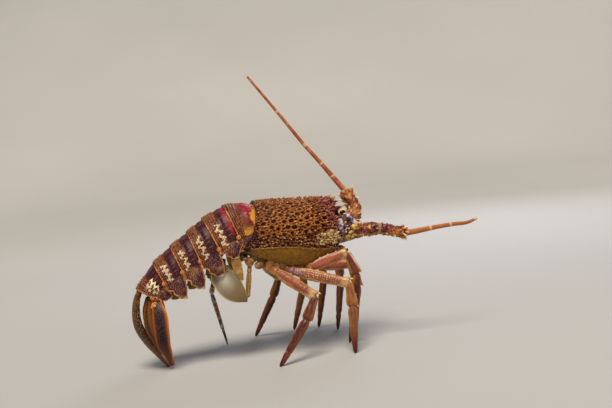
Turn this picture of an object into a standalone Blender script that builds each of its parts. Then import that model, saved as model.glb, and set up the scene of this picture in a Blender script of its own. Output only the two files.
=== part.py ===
"""Spiny lobster, life size, standing with its head to +X and its tail fan down on the floor.

Lengths are in millimetres and become metres where a mesh is made. +Z is up, -Y is the animal's right side.
"""

import math
import random

import bmesh
import bpy
from mathutils import Vector

MM = 0.001
GAP = 0.3
SEED = 11

# Driving sizes of the carapace, from its rear rim to its front edge
REAR_X, FRONT_X = -55.0, 53.0
RECESS_X = -46.0
RIM_WALL = 3.0
WIDEST_AT = 0.62  # share of the way from the dorsal midline to the lower margin
# x, height of the back, half width, height of the widest line, height of the lower margin, its half width
CARAPACE = (
    (-64.0, 173.5, 36.5, 150.0, 126.5, 33.0),
    (-50.0, 176.0, 38.5, 148.0, 117.0, 34.0),
    (-32.0, 175.5, 41.0, 143.0, 109.0, 34.5),
    (-12.0, 173.5, 42.0, 139.0, 101.5, 34.5),
    (8.0, 172.0, 41.0, 137.0, 100.5, 33.0),
    (28.0, 170.5, 37.0, 138.0, 105.0, 29.5),
    (42.0, 168.0, 32.5, 140.0, 111.0, 25.5),
    (54.0, 161.0, 27.5, 142.0, 119.0, 21.5),
)
# The body's underside between the margins, x and height, which the sternum follows
UNDERSIDE = (
    (-66.0, 134.3), (-46.0, 121.0), (-34.0, 114.0), (-20.0, 108.5), (20.0, 108.5), (34.0, 111.5), (54.0, 122.5),
)
GROOVE_TOP_X, GROOVE_SIDE_X, GROOVE_DEPTH = 17.0, 39.0, 2.4
# Rows across the shell: share of its length, and how far each is sunk below the smooth form
SHELL_ROWS = (
    (0.0, -0.6), (0.03, -1.0), (0.055, -0.4), (0.075, 0.9), (0.1, 0.2), (0.15, 0), (0.21, 0), (0.28, 0),
    (0.35, 0), (0.42, 0), (0.49, 0), (0.545, 0.1), (0.6, GROOVE_DEPTH), (0.655, 0.2), (0.7, 0), (0.77, 0),
    (0.84, 0), (0.91, 0), (0.96, 0), (1.0, 0.5),
)
# Thorns of the shell's back and sides: share of the length, count across, length, radius at the root
THORN_ROWS = (
    (0.17, 7, 2.4, 1.7), (0.25, 8, 2.6, 1.8), (0.33, 7, 2.6, 1.8), (0.41, 8, 2.8, 1.8), (0.49, 7, 2.8, 1.8),
    (0.69, 6, 3.0, 1.8), (0.77, 7, 3.2, 1.8), (0.86, 6, 3.4, 1.8),
)
HORN_ROOT, HORN_TIP, HORN_RADIUS = (36.0, 12.5, 161.0), (52.5, 13.5, 170.2), 5.0
BROW_ROOT, BROW_TIP, BROW_RADIUS = (45.0, 18.5, 156.5), (60.0, 19.5, 158.3), 2.6

# The abdomen's joints: hinge point (x, z) at the side, point of the back (x, z), half width, depth below the hinge
JOINTS = (
    ((-46.3, 143.0), (-46.3, 171.4), 30.5, 6.0),
    ((-65.6, 140.0), (-77.0, 174.5), 33.0, 4.5),
    ((-89.2, 129.5), (-102.0, 162.5), 33.0, 13.0),
    ((-111.4, 118.7), (-121.0, 149.5), 31.0, 12.0),
    ((-132.0, 109.0), (-141.5, 136.0), 29.0, 11.0),
    ((-153.3, 98.6), (-162.5, 120.0), 26.0, 10.0),
    ((-168.0, 84.0), (-184.5, 94.0), 21.0, 7.0),
)
# Side plate of each ring: reach below the hinge, how far its tip lies in front of the middle, width at the root
SIDE_PLATES = (
    (17.0, -10.5, 14.0), (20.0, 1.0, 17.0), (29.0, 3.0, 18.0), (29.5, 1.5, 17.0), (28.0, 1.0, 16.0), (17.0, 4.0, 14.0),
)
PLATE_THICK = 2.6

# Each leg: root on the sternum, end of the coxa, end of the ischium, knee, end of the carpus, foot; girth
RIGHT_LEGS = {
    5: ((-55, -20, 112), (-56.5, -26, 105), (-58, -28, 99), (-62.5, -25, 71),
        (-74, -14, 72), (-92, -2, 86), 0.62),
    4: ((-37, -20, 105), (-33, -31, 99.5), (-28, -37, 96), (7.5, -62, 67),
        (-6, -70, 44), (-43, -83, 0), 1.0),
    3: ((-19, -19, 100), (-15, -30, 95.5), (-9, -36, 94), (48, -58, 75.5),
        (47.5, -66, 51), (43, -75, 0), 1.0),
    2: ((-1, -17, 98), (5, -28, 95), (13, -35.2, 96), (52, -45, 108),
        (60, -50, 84), (48, -47, 0), 0.95),
    1: ((16, -13, 99), (20, -20, 95), (25, -23.5, 94), (59, -27, 92),
        (64, -30, 66), (49, -21, 0), 0.95),
}
LEFT_LEGS = {
    5: ((-55, 20, 112), (-60, 28, 106), (-64, 32, 102), (-92, 44, 88),
        (-97, 52, 68), (-84, 66, 0), 0.62),
    4: ((-37, 20, 105), (-35, 31, 99.5), (-32, 37, 96), (-12, 66, 74),
        (-20, 76, 50), (-46, 92, 0), 1.0),
    3: ((-19, 19, 100), (-16, 30, 95.5), (-12, 36, 94), (20, 72, 79),
        (19, 82, 54), (4, 98, 0), 1.0),
    2: ((-1, 17, 98), (2, 27, 94), (7, 34, 93.5), (42, 62, 87),
        (44, 72, 62), (34, 88, 0), 0.95),
    1: ((16, 13, 99), (20, 20, 95), (25, 23.5, 94), (56, 44, 93),
        (62, 51, 68), (52, 58, 0), 0.95),
}
LEG_SIDES = 8

# Antennae: joints of each stalk, then the whip's points with its radii
RIGHT_STALK = ((67.3, -20.0, 129.0), (97.0, -25.0, 128.0), (128.0, -28.0, 119.0))
LEFT_STALK = ((67.3, 18.0, 134.0), (86.0, 34.0, 144.0), (76.0, 42.0, 171.0))
RIGHT_WHIP = (
    (142.0, -29.0, 119.6), (156.0, -30.0, 120.8), (182.0, -31.0, 122.0), (203.0, -31.5, 122.2), (212.0, -32.0, 125.0),
)
LEFT_WHIP = (
    (66.0, 44.5, 186.0), (54.0, 47.0, 204.0), (35.0, 51.0, 231.0), (10.0, 56.0, 270.0), (-22.0, 63.0, 319.0),
)
STALK_RADIUS, WHIP_RADIUS, WHIP_TIP = 8.6, 3.6, 1.5
EYE_X, EYE_Z, EYE_ROOT = 57.2, 151.3, 11.0

# Blades of the tail fan: points of the middle line (left side's), half widths and width directions
TELSON_PATH = (
    (-184.0, 0, 87.0), (-190.0, 0, 70.0), (-190.0, 0, 50.0), (-181.5, 0, 31.0), (-169.5, 0, 14.5), (-158.5, 0, 0),
)
TELSON_HALVES, TELSON_ARCH = (11.5, 15.0, 16.0, 14.5, 10.0, 4.0), 7.5
INNER_PATH = (
    (-171.5, 15.0, 80.5), (-173.5, 20.5, 66.0), (-172.8, 21.5, 50.0), (-166.8, 18.5, 32.0),
    (-158.8, 13.5, 15.0), (-154.5, 7.5, 3.0),
)
INNER_HALVES, INNER_WIDTH = (4.5, 8.5, 9.5, 8.5, 6.0, 2.2), (0.78, 0.63)
OUTER_PATH = (
    (-163.5, 22.0, 78.5), (-162.5, 30.5, 64.0), (-162.5, 33.0, 49.0), (-162.0, 29.0, 32.5),
    (-158.5, 21.5, 17.0), (-156.0, 12.5, 4.5),
)
OUTER_HALVES, OUTER_WIDTH = (5.0, 8.5, 8.5, 7.5, 5.0, 1.8), (0.98, 0.2)
# The large first swimmeret leaf: points of the left one's middle line and its half widths
LEAF_PATH = (
    (-83.5, 19.0, 116.5), (-88.5, 21.8, 108.5), (-89.0, 24.0, 100.0), (-84.5, 27.0, 91.0), (-77.0, 29.0, 80.0),
    (-69.5, 30.0, 71.5), (-65.0, 30.0, 66.5),
)
LEAF_HALVES = (2.4, 8.0, 12.5, 14.5, 13.0, 8.5, 2.0)

SHELL = ("shell", (0.36, 0.13, 0.06, 1), 0.38)
LIMB = ("limb", (0.62, 0.25, 0.13, 1), 0.35)
PALE = ("pale", (0.72, 0.62, 0.42, 1), 0.4)
UNDER = ("underside", (0.5, 0.34, 0.14, 1), 0.5)
EYE = ("eye", (0.01, 0.01, 0.012, 1), 0.08)


def material(look):
    """One Principled material for each named look, made once."""
    name, colour, roughness = look
    found = bpy.data.materials.get(name)
    if found:
        return found
    made = bpy.data.materials.new(name)
    made.use_nodes = True
    shader = made.node_tree.nodes["Principled BSDF"]
    shader.inputs["Base Color"].default_value = colour
    shader.inputs["Roughness"].default_value = roughness
    shader.inputs["Metallic"].default_value = 0.0
    return made


def add_object(name, mesh, look):
    obj = bpy.data.objects.new(name, mesh)
    bpy.context.scene.collection.objects.link(obj)
    if look:
        mesh.materials.append(material(look))
        mesh.shade_smooth()
    return obj


def loft(name, rings, look=None, hubs=(None, None)):
    """A closed body through rings of equal point counts. A hub is the middle point of an end's fan."""
    shape = bmesh.new()
    rows = [[shape.verts.new(Vector(p) * MM) for p in ring] for ring in rings]
    count = len(rows[0])
    for a, b in zip(rows, rows[1:]):
        for i in range(count):
            j = (i + 1) % count
            shape.faces.new((a[i], a[j], b[j], b[i]))
    for row, hub in ((rows[0][::-1], hubs[0]), (rows[-1], hubs[1])):
        if hub is None:
            shape.faces.new(row)
            continue
        middle = shape.verts.new(Vector(hub) * MM)
        for i in range(count):
            shape.faces.new((row[i], row[(i + 1) % count], middle))
    bmesh.ops.recalc_face_normals(shape, faces=shape.faces)
    if shape.calc_volume(signed=True) < 0:
        bmesh.ops.reverse_faces(shape, faces=shape.faces)
    bmesh.ops.triangulate(shape, faces=[f for f in shape.faces if len(f.verts) > 4])
    mesh = bpy.data.meshes.new(name)
    shape.to_mesh(mesh)
    shape.free()
    return add_object(name, mesh, look)


def ring(centre, normal, wide, thick, up, sides, power=1.0):
    """Points of an oval across the normal: wide along the direction nearest to up, thick across it."""
    normal = Vector(normal).normalized()
    tall = Vector(up)
    tall = (tall - normal * tall.dot(normal)).normalized()
    side = normal.cross(tall)
    points = []
    for i in range(sides):
        angle = 2 * math.pi * (i + 0.5) / sides
        c, s = math.cos(angle), math.sin(angle)
        a = math.copysign(abs(c) ** power, c)
        b = math.copysign(abs(s) ** power, s)
        points.append(Vector(centre) + tall * (wide * a) + side * (thick * b))
    return points


def fuse(obj, pieces):
    """Joins closed pieces to obj by one union, then keeps the largest closed surface."""
    group = bpy.data.collections.new(obj.name + "_pieces")
    for piece in pieces:
        bpy.context.scene.collection.objects.unlink(piece)
        group.objects.link(piece)
    union = obj.modifiers.new("union", "BOOLEAN")
    union.operation = "UNION"
    union.operand_type = "COLLECTION"
    union.collection = group
    union.solver = "MANIFOLD"
    graph = bpy.context.evaluated_depsgraph_get()
    joined = bpy.data.meshes.new_from_object(obj.evaluated_get(graph))
    obj.modifiers.clear()
    for piece in pieces:
        bpy.data.objects.remove(piece)
    bpy.data.collections.remove(group)
    keep_largest(joined)
    looks = obj.data.materials[:]
    obj.data = joined
    joined.name = obj.name
    joined.materials.clear()
    for look in looks:
        joined.materials.append(look)
    joined.shade_smooth()
    return obj


def reach_of(verts):
    """The greatest distance from a group's rearmost point to another of its points."""
    rearmost = min(verts, key=lambda v: v.co.x)
    return max((v.co - rearmost.co).length for v in verts)


def keep_largest(mesh):
    """Leaves only the connected surface with the longest reach."""
    shape = bmesh.new()
    shape.from_mesh(mesh)
    bmesh.ops.remove_doubles(shape, verts=shape.verts, dist=1e-6)
    left = set(shape.verts)
    groups = []
    while left:
        seed = left.pop()
        found, edge = {seed}, [seed]
        while edge:
            vert = edge.pop()
            for link in vert.link_edges:
                other = link.other_vert(vert)
                if other not in found:
                    found.add(other)
                    edge.append(other)
        left -= found
        groups.append(found)
    best = max(groups, key=reach_of)
    for group in groups:
        if group is not best:
            bmesh.ops.delete(shape, geom=list(group), context="VERTS")
    shape.to_mesh(mesh)
    shape.free()


def spine(root, direction, length, radius, sides=5):
    """A thorn whose base is sunk below its root point, so that it joins well."""
    direction = Vector(direction).normalized()
    up = (0, 0, 1) if abs(direction.z) < 0.9 else (1, 0, 0)
    base = Vector(root) - direction * (length * 0.25 + 1.0)
    points = ring(base, direction, radius, radius, up, sides)
    tip = Vector(root) + direction * length
    shape = bmesh.new()
    low = [shape.verts.new(p * MM) for p in points]
    top = shape.verts.new(tip * MM)
    shape.faces.new(low[::-1])
    for i in range(sides):
        shape.faces.new((low[i], low[(i + 1) % sides], top))
    bmesh.ops.recalc_face_normals(shape, faces=shape.faces)
    mesh = bpy.data.meshes.new("thorn")
    shape.to_mesh(mesh)
    shape.free()
    return add_object("thorn", mesh, None)


def between(rows, x):
    """The row of numbers at x, read by straight lines from a table whose first column rises."""
    x = min(max(x, rows[0][0]), rows[-1][0])
    for low, high in zip(rows, rows[1:]):
        if x <= high[0]:
            share = (x - low[0]) / (high[0] - low[0])
            smooth = share * share * (3 - 2 * share) * 0.35 + share * 0.65
            return [a + (b - a) * smooth for a, b in zip(low[1:], high[1:])]
    return list(rows[-1][1:])


def carapace_x(along, across):
    """Place along X of a point of the shell: the rows of points follow the rear rim, the groove and the front."""
    u = abs(across)
    rear = REAR_X + 5.0 * math.sin(math.pi * min(u / 0.75, 1.0)) - 7.0 * max(0.0, u - 0.5) / 0.5
    groove = GROOVE_TOP_X + (GROOVE_SIDE_X - GROOVE_TOP_X) * min(1.0, u / 0.8) ** 1.4
    front = FRONT_X - 3.0 * math.sin(math.pi * min(1.0, u / 0.6)) ** 2
    if along <= 0.6:
        return rear + (groove - rear) * along / 0.6
    return groove + (front - groove) * (along - 0.6) / 0.4


def carapace_point(along, across, sink=0.0):
    """A point of the shell. along runs 0 to 1 from rear to front, across -1 (right margin) to 1 (left margin)."""
    x = carapace_x(along, across)
    top, half, widest, margin, margin_half = between(CARAPACE, x)
    u = abs(across)
    if u <= WIDEST_AT:
        angle = (1 - u / WIDEST_AT) * math.pi / 2
        y = half * math.cos(angle) ** 0.92
        z = widest + (top - widest) * math.sin(angle) ** 0.92
    else:
        angle = (1 - (u - WIDEST_AT) / (1 - WIDEST_AT)) * math.pi / 2
        y = margin_half + (half - margin_half) * math.sin(angle)
        z = margin + (widest - margin) * (1 - math.cos(angle))
    middle = Vector((x, 0, widest))
    point = Vector((x, math.copysign(y, across), z))
    return point + (middle - point).normalized() * sink


def carapace_normal(along, across):
    step = 0.01
    a = carapace_point(min(along + step, 1), across) - carapace_point(max(along - step, 0), across)
    b = carapace_point(along, min(across + step, 1)) - carapace_point(along, max(across - step, -1))
    normal = b.cross(a).normalized()
    outward = carapace_point(along, across) - Vector((carapace_x(along, across), 0, 140))
    return normal if normal.dot(outward) > 0 else -normal


def underside_z(x):
    """Height of the underside at x, by straight lines."""
    x = min(max(x, UNDERSIDE[0][0]), UNDERSIDE[-1][0])
    for low, high in zip(UNDERSIDE, UNDERSIDE[1:]):
        if x <= high[0]:
            return low[1] + (high[1] - low[1]) * (x - low[0]) / (high[0] - low[0])


def closed_below(points, lift=0.0):
    """Adds the flat underside between the two lower margins to a row of points over the back."""
    right, left = points[0], points[-1]
    inner = max(6.0, abs(right.y) - 3.0)
    deep = underside_z(right.x) + lift
    ends = [Vector((left.x, inner, left.z)), Vector((left.x, inner - 2.5, deep))]
    return points + ends + [Vector((p.x, -p.y, p.z)) for p in ends[::-1]]


def make_shell():
    """The smooth carapace, with the recess at its rear that the first ring of the abdomen stands in."""
    across = [-1 + 2 * i / 26 for i in range(27)]
    mouth = [carapace_point(0, s, RIM_WALL) for s in across]
    deep = [Vector((RECESS_X, p.y * 0.97, p.z)) for p in mouth]
    rings = [closed_below(deep, RIM_WALL), closed_below(mouth, RIM_WALL)]
    for t, depth in SHELL_ROWS:
        fade = [depth * max(0.0, 1 - max(0.0, abs(s) - 0.75) / 0.2) for s in across]
        rings.append(closed_below([carapace_point(t, s, d) for s, d in zip(across, fade)]))
    return loft("carapace", rings, SHELL, hubs=((RECESS_X, 0, 150), (51.5, 0, 140)))


def make_carapace():
    shell = make_shell()
    thorns = []
    for side in (-1, 1):
        horn, brow = (HORN_ROOT, HORN_TIP, HORN_RADIUS), (BROW_ROOT, BROW_TIP, BROW_RADIUS)
        for root, tip, radius in (horn, brow):
            a, b = (Vector((x, side * y, z)) for x, y, z in (root, tip))
            thorns.append(spine(a, b - a, (b - a).length, radius, 7))
        thorns.append(spine((50, side * 25.5, 146.5), (1.0, side * 0.25, 0.15), 6.5, 2.2))
        thorns.append(spine((48.5, side * 26.5, 130), (1.0, side * 0.2, 0.0), 6.0, 2.0))
    thorns.append(spine((49.5, 0, 162), (1.0, 0, 0.1), 9, 2.8))
    for t, count, length, radius in THORN_ROWS:
        for i in range(count):
            s = -0.66 + 1.32 * (i + 0.5) / count + random.uniform(-0.02, 0.02)
            at = t + random.uniform(-0.015, 0.015)
            lean = carapace_normal(at, s) * 0.62 + Vector((0.8, 0, 0))
            thorns.append(spine(carapace_point(at, s), lean, length, radius, 4))
    fuse(shell, thorns)


def section(joint, half_scale=1.0, height_scale=1.0, shift=0.0, sides=24):
    """A ring of points across the abdomen at a joint: an arch over the hinge line, a shallow belly under it."""
    (hx, hz), (tx, tz), half, deep = joint
    up = Vector((tx - hx, 0, tz - hz))
    along = Vector((-up.z, 0, up.x)).normalized()  # towards the tail
    down = -up.normalized()
    points = []
    for i in range(sides):
        angle = 2 * math.pi * i / sides
        c, s = math.cos(angle), math.sin(angle)
        y = math.copysign(abs(c) ** 0.9, c) * half * half_scale
        if s >= 0:
            offset = up * (s ** 0.9 * height_scale)
        else:
            offset = down * (deep * abs(s) ** 0.6)
            y *= 1 - 0.18 * abs(s)
        points.append(Vector((hx, 0, hz)) + offset + Vector((0, y, 0)) + along * shift)
    return points


def mix(a, b, share):
    """The value a share of the way from a to b, for numbers and for tuples of numbers."""
    if isinstance(a, tuple):
        return tuple(mix(p, q, share) for p, q in zip(a, b))
    return a + (b - a) * share


def side_plate(front, rear, reach, lead, width, side):
    """The flap that hangs from one side of a ring: broad at the root, its point turned forward, two teeth behind it."""
    middle = mix(front, rear, 0.5)
    hinge = Vector((middle[0][0], 0, middle[0][1]))
    up = Vector((middle[1][0] - middle[0][0], 0, middle[1][1] - middle[0][1])).normalized()
    back = Vector((rear[0][0] - front[0][0], 0, rear[0][1] - front[0][1])).normalized()
    half = width / 2
    outline = (
        (-half, 5.0), (half, 5.0), (half * 1.02, -1.0), (half * 0.95, -reach * 0.3), (half * 0.72, -reach * 0.5),
        (half * 0.78, -reach * 0.62), (half * 0.42, -reach * 0.72), (half * 0.4, -reach * 0.84),
        (half * 0.05 - lead, -reach * 0.92), (-lead - 0.6, -reach), (-lead - 2.2, -reach * 0.97),
        (-half * 0.7 - lead * 0.5, -reach * 0.7), (-half * 0.95, -reach * 0.35), (-half, -1.0),
    )
    outer = middle[2] + 0.6

    def place(along, above, depth):
        """A point of the plate: it leans inward towards its tip and thins there."""
        thick = depth * (1.0 if above > -reach * 0.4 else 0.75)
        y = side * (outer - thick - max(0.0, -above) * 0.16)
        return hinge + back * along + up * above + Vector((0, y, 0))

    rows = [[place(a, d, depth) for a, d in outline] for depth in (0.0, PLATE_THICK)]
    hubs = [place(0.0, -reach * 0.4, depth) for depth in (0.0, PLATE_THICK)]
    return loft("plate", rows, hubs=hubs)


def peg(root, out, wide, thick, up, depth=7.0, sides=8):
    """A short plinth that ends a gap's width short of the root of the piece that it carries."""
    out = Vector(out).normalized()
    return loft("peg", [ring(Vector(root) - out * d, out, wide, thick, up, sides) for d in (depth, GAP)])


def belt_rings(n, front, rear):
    """Rings of one abdomen ring: a low front part, a groove across it and a raised rear edge."""
    if n == 0:
        shares = ((0.25, 0.99, 0.99), (0.4, 1.01, 1.09), (0.7, 1.02, 1.085))
        rings = [section(front)]
    else:
        shares = ((0.12, 0.95, 0.955), (0.3, 0.98, 0.985), (0.42, 0.95, 0.955), (0.52, 0.99, 1.0))
        rings = [section(front, 0.94, 0.95, GAP / 2)]
    rings += [section(mix(front, rear, t), half, height) for t, half, height in shares]
    return [*rings, section(rear, 1.0, 1.03, -1.6), section(rear, 0.985, 1.0, -GAP / 2)]


def make_abdomen():
    for n in range(6):
        front, rear = JOINTS[n], JOINTS[n + 1]
        belt = loft(f"abdomen_{n + 1}", belt_rings(n, front, rear), SHELL)
        reach, lead, width = SIDE_PLATES[n]
        pieces = [side_plate(front, rear, reach, lead, width, side) for side in (-1, 1)]
        if 1 <= n <= 4:
            for side in (-1, 1):
                path = swimmeret_path(n + 1, side)[0]
                pieces.append(peg(path[0], path[1] - path[0], 2.4, 1.6, (0, 1, 0), 11.0, 6))
        if n == 5:
            pieces += tail_pegs()
        fuse(belt, pieces)


def blade(name, path, width_dir, halves, thick, look, keel=0.5, sides=10, arch=0.0, stands=False):
    """A thin leaf along a bent line: flat ovals whose width lies near the width direction, arched across."""
    rings = []
    points = [Vector(p) for p in path]
    for i, (p, half) in enumerate(zip(points, halves)):
        tangent = (points[min(i + 1, len(points) - 1)] - points[max(i - 1, 0)]).normalized()
        wide = (width_dir - tangent * width_dir.dot(tangent)).normalized()
        flat = tangent.cross(wide)
        row = []
        for k in range(sides):
            angle = 2 * math.pi * (k + 0.5) / sides
            c, s = math.cos(angle), math.sin(angle)
            bulge = thick / 2 * (1 + keel * (1 - abs(c)))
            lift = math.copysign(abs(s) ** 0.7, s) * bulge + arch * (c * half / max(halves)) ** 2
            row.append(p + wide * (half * c) + flat * lift)
        rings.append(row)
    if stands:
        rings[-1] = [Vector((p.x, p.y, 0)) for p in rings[-1]]
    return loft(name, rings, look)


def tail_blades():
    """Name, middle line, width direction, half widths, thickness and arch of each blade of the tail fan."""
    blades = [("telson", TELSON_PATH, Vector((0, 1, 0)), TELSON_HALVES, 2.6, TELSON_ARCH)]
    inner = ("inner", INNER_PATH, INNER_WIDTH, INNER_HALVES)
    outer = ("outer", OUTER_PATH, OUTER_WIDTH, OUTER_HALVES)
    for side, tag in ((-1, "right"), (1, "left")):
        for kind, path, width, halves in (inner, outer):
            points = [(x, side * y, z) for x, y, z in path]
            wide = Vector((width[0], side * width[1], 0))
            blades.append((f"uropod_{kind}_{tag}", points, wide, halves, 2.2, 0.0))
    return blades


def tail_pegs():
    """The plinths on the last ring that carry the five blades."""
    pegs = []
    for _, path, wide, halves, thick, _ in tail_blades():
        out = Vector(path[1]) - Vector(path[0])
        pegs.append(peg(path[0], out, halves[0] * 0.8, thick * 0.8, wide, 6.5, 8))
    return pegs


def make_tail_fan():
    for name, path, wide, halves, thick, arch in tail_blades():
        blade(name, path, wide, halves, thick, SHELL, sides=12, arch=arch, stands=name == "telson")


def limb(name, points, sizes, first, last, look, up=(0, 0, 1), sides=LEG_SIDES):
    """A bent tapering limb. sizes holds (wide, thick) for each point; first and last are the end faces' normals."""
    points = [Vector(p) for p in points]
    rings = []
    for i, (p, (wide, thick)) in enumerate(zip(points, sizes)):
        if i == 0:
            normal = Vector(first)
        elif i == len(points) - 1:
            normal = Vector(last)
        else:
            normal = (p - points[i - 1]).normalized() + (points[i + 1] - p).normalized()
        rings.append(ring(p, normal, wide, thick, up, sides))
    return loft(name, rings, look)


def on_line(a, b, share):
    return Vector(a) + (Vector(b) - Vector(a)) * share


def split_rows(rows, girth=1.0):
    """Rows of (point, wide, thick) as a list of the points and a list of the sizes."""
    return [p for p, _, _ in rows], [(a * girth, b * girth) for _, a, b in rows]


def make_leg(tag, row):
    """A walking leg in two pieces, which meet at the knee."""
    root, coxa, ischium, knee, carpus, foot = (Vector(p) for p in row[:6])
    g = row[6]
    out = (coxa - root).normalized()
    thigh = (knee - ischium).normalized()
    shin = (carpus - knee).normalized()
    bend = (thigh + shin).normalized()
    across = thigh.cross(shin).normalized()
    up = bend.cross(across)
    stands = foot.z == 0
    upper = (
        (root, 5.4, 5.2), (coxa, 5.6, 5.2), (on_line(coxa, ischium, 0.35), 4.6, 4.3), (ischium, 5.6, 4.6),
        (on_line(ischium, knee, 0.05), 5.1, 4.3), (on_line(ischium, knee, 0.22), 6.4, 4.7),
        (on_line(ischium, knee, 0.6), 6.3, 4.6), (on_line(ischium, knee, 0.86), 5.8, 4.4),
        (knee - bend * GAP / 2, 5.2, 4.0),
    )
    thigh_piece = limb(f"leg_{tag}_upper", *split_rows(upper, g), out, bend, LIMB, up)
    if stands and g > 0.8:
        at = on_line(ischium, knee, 0.93) + up * (4.6 * g)
        fuse(thigh_piece, [spine(at, thigh + up * 0.4, 5.5, 1.8, 5)])
    claw = on_line(carpus, foot, 0.68)
    last = Vector((0, 0, -1)) if stands else (foot - claw).normalized()
    lower = (
        (knee + bend * GAP / 2, 5.2, 4.0), (on_line(knee, carpus, 0.35), 4.9, 4.2),
        (on_line(knee, carpus, 0.72), 6.3, 4.9), (on_line(knee, carpus, 0.94), 5.6, 4.4),
        (on_line(carpus, foot, 0.05), 4.9, 4.1), (on_line(carpus, foot, 0.2), 5.1, 4.1),
        (on_line(carpus, foot, 0.5), 4.3, 3.6), (claw, 3.9, 3.3), (on_line(carpus, foot, 0.73), 3.5, 3.0),
        (on_line(carpus, foot, 0.9), 2.7, 2.4), (foot, 1.5, 1.5),
    )
    limb(f"leg_{tag}_lower", *split_rows(lower, g), bend, last, LIMB, up)


def make_legs():
    for legs, tag in ((RIGHT_LEGS, "right"), (LEFT_LEGS, "left")):
        for number, row in legs.items():
            make_leg(f"{tag}_{number}", row)


def make_sternum():
    """The belly plate between the legs, with a short socket at each leg's root."""
    stations = (
        (-71, 16, 12, 7), (-60, 21, 15, 10), (-46, 20, 15, 12), (-34, 20, 14, 15),
        (-20, 18, 13, 14), (20, 13, 8, 13), (34, 9, 6, 10),
    )
    rings = []
    for x, half, low_half, deep in stations:
        top = min(underside_z(x) - GAP, 130.0 - max(0.0, -60.0 - x) * 0.3)
        outline = (
            (-half, top), (half, top), (half, top - 3),
            (low_half, top - deep), (-low_half, top - deep), (-half, top - 3),
        )
        rings.append([(x, y, z) for y, z in outline])
    plate = loft("sternum", rings, UNDER)
    sockets = []
    for legs in (RIGHT_LEGS, LEFT_LEGS):
        for row in legs.values():
            wide = 5.4 * row[6]
            sockets.append(peg(row[0], Vector(row[1]) - Vector(row[0]), wide, wide, (1, 0, 0), 9.0))
    fuse(plate, sockets)


def make_head():
    """The block that carries the eyes' sill, the feelers and both antennae, in front of the carapace."""
    start = 53.3
    stations = (
        (start, 24.0, 146.0, 120.0), (58.0, 25.0, 147.0, 119.0), (64.0, 27.0, 144.5, 120.0), (67.0, 25.0, 143.0, 121.5),
    )
    rings = []
    for x, half, top, low in stations:
        centre = (x, 0, (top + low) / 2)
        rings.append(ring(centre, (1, 0, 0), half, (top - low) / 2, (0, 1, 0), 16, 0.75))
    block = loft("head_front", rings, SHELL)
    brow = loft("brow", [ring((EYE_X, y, EYE_Z), (0, 1, 0), 3.6, 3.2, (1, 0, 0), 8) for y in (-EYE_ROOT, EYE_ROOT)])
    post = loft("post", [ring((EYE_X + 1, 0, z), (0, 0, 1), 5.0, 8.0, (1, 0, 0), 8) for z in (140, 153)])
    beak = spine((62, 0, 143), (1, 0, 0.2), 9, 4.0, 6)
    lobes = [spine((62, side * 21.0, 142.0), (0.7, side * 0.35, 0.62), 6.5, 2.6) for side in (-1, 1)]
    fuse(block, [brow, post, beak, *lobes])


def make_eyes():
    for side, tag in ((-1, "right"), (1, "left")):
        out = Vector((0.0, side, 0.0))
        root = Vector((EYE_X, side * (EYE_ROOT + GAP), EYE_Z))
        rows = ((0.0, 3.2), (3.0, 3.5), (5.0, 4.2), (7.5, 4.7), (9.8, 4.3), (11.6, 3.0), (12.4, 1.4))
        rings = [ring(root + out * d, out, r, r, (0, 0, 1), 12) for d, r in rows]
        loft(f"eye_{tag}", rings, EYE)


def make_antennules():
    """The small first feelers: a slim jointed stalk that ends in two short whips, held forward."""
    for side, tag in ((-1, "right"), (1, "left")):
        root = Vector((67.3, side * 5.0, 128.0))
        steps = ((0, 0, 0), (12, 0.5, -1), (24, 1.0, -3), (36, 1.5, -6))
        bends = [root + Vector((x, side * y, z)) for x, y, z in steps]
        sizes = [(2.4, 2.4), (2.0, 2.0), (1.8, 1.8), (1.4, 1.4)]
        stalk = limb(f"feeler_{tag}", bends, sizes, (1, 0, 0), (1, 0, 0), LIMB, sides=6)
        fork = bends[-1] - Vector((2.5, 0, 0))
        whips = []
        for tip in (Vector((20, side * 3.0, -3)), Vector((20, side * 1.0, -8))):
            path = [fork, fork + tip * 0.5 + Vector((0, 0, 0.8)), fork + tip]
            whips.append(limb("whip", path, [(1.0, 1.0), (0.75, 0.75), (0.4, 0.4)], tip, tip, None, sides=5))
        fuse(stalk, whips)


def thorns_round(start, stop, radius, rows):
    """Thorns that point outward and ahead round a line. Each row is a share of the line, a count and a length."""
    axis = (stop - start).normalized()
    side = axis.cross(Vector((0, 0, 1)) if abs(axis.z) < 0.8 else Vector((1, 0, 0))).normalized()
    high = side.cross(axis)
    thorns = []
    for n, (share, count, length) in enumerate(rows):
        for i in range(count):
            angle = 2 * math.pi * (i + 0.5 * n + 0.3) / count
            out = side * math.cos(angle) + high * math.sin(angle)
            root = on_line(start, stop, share) + out * radius
            thorns.append(spine(root, out * 0.75 + axis * 0.65, length, 1.7, 4))
    return thorns


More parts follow.
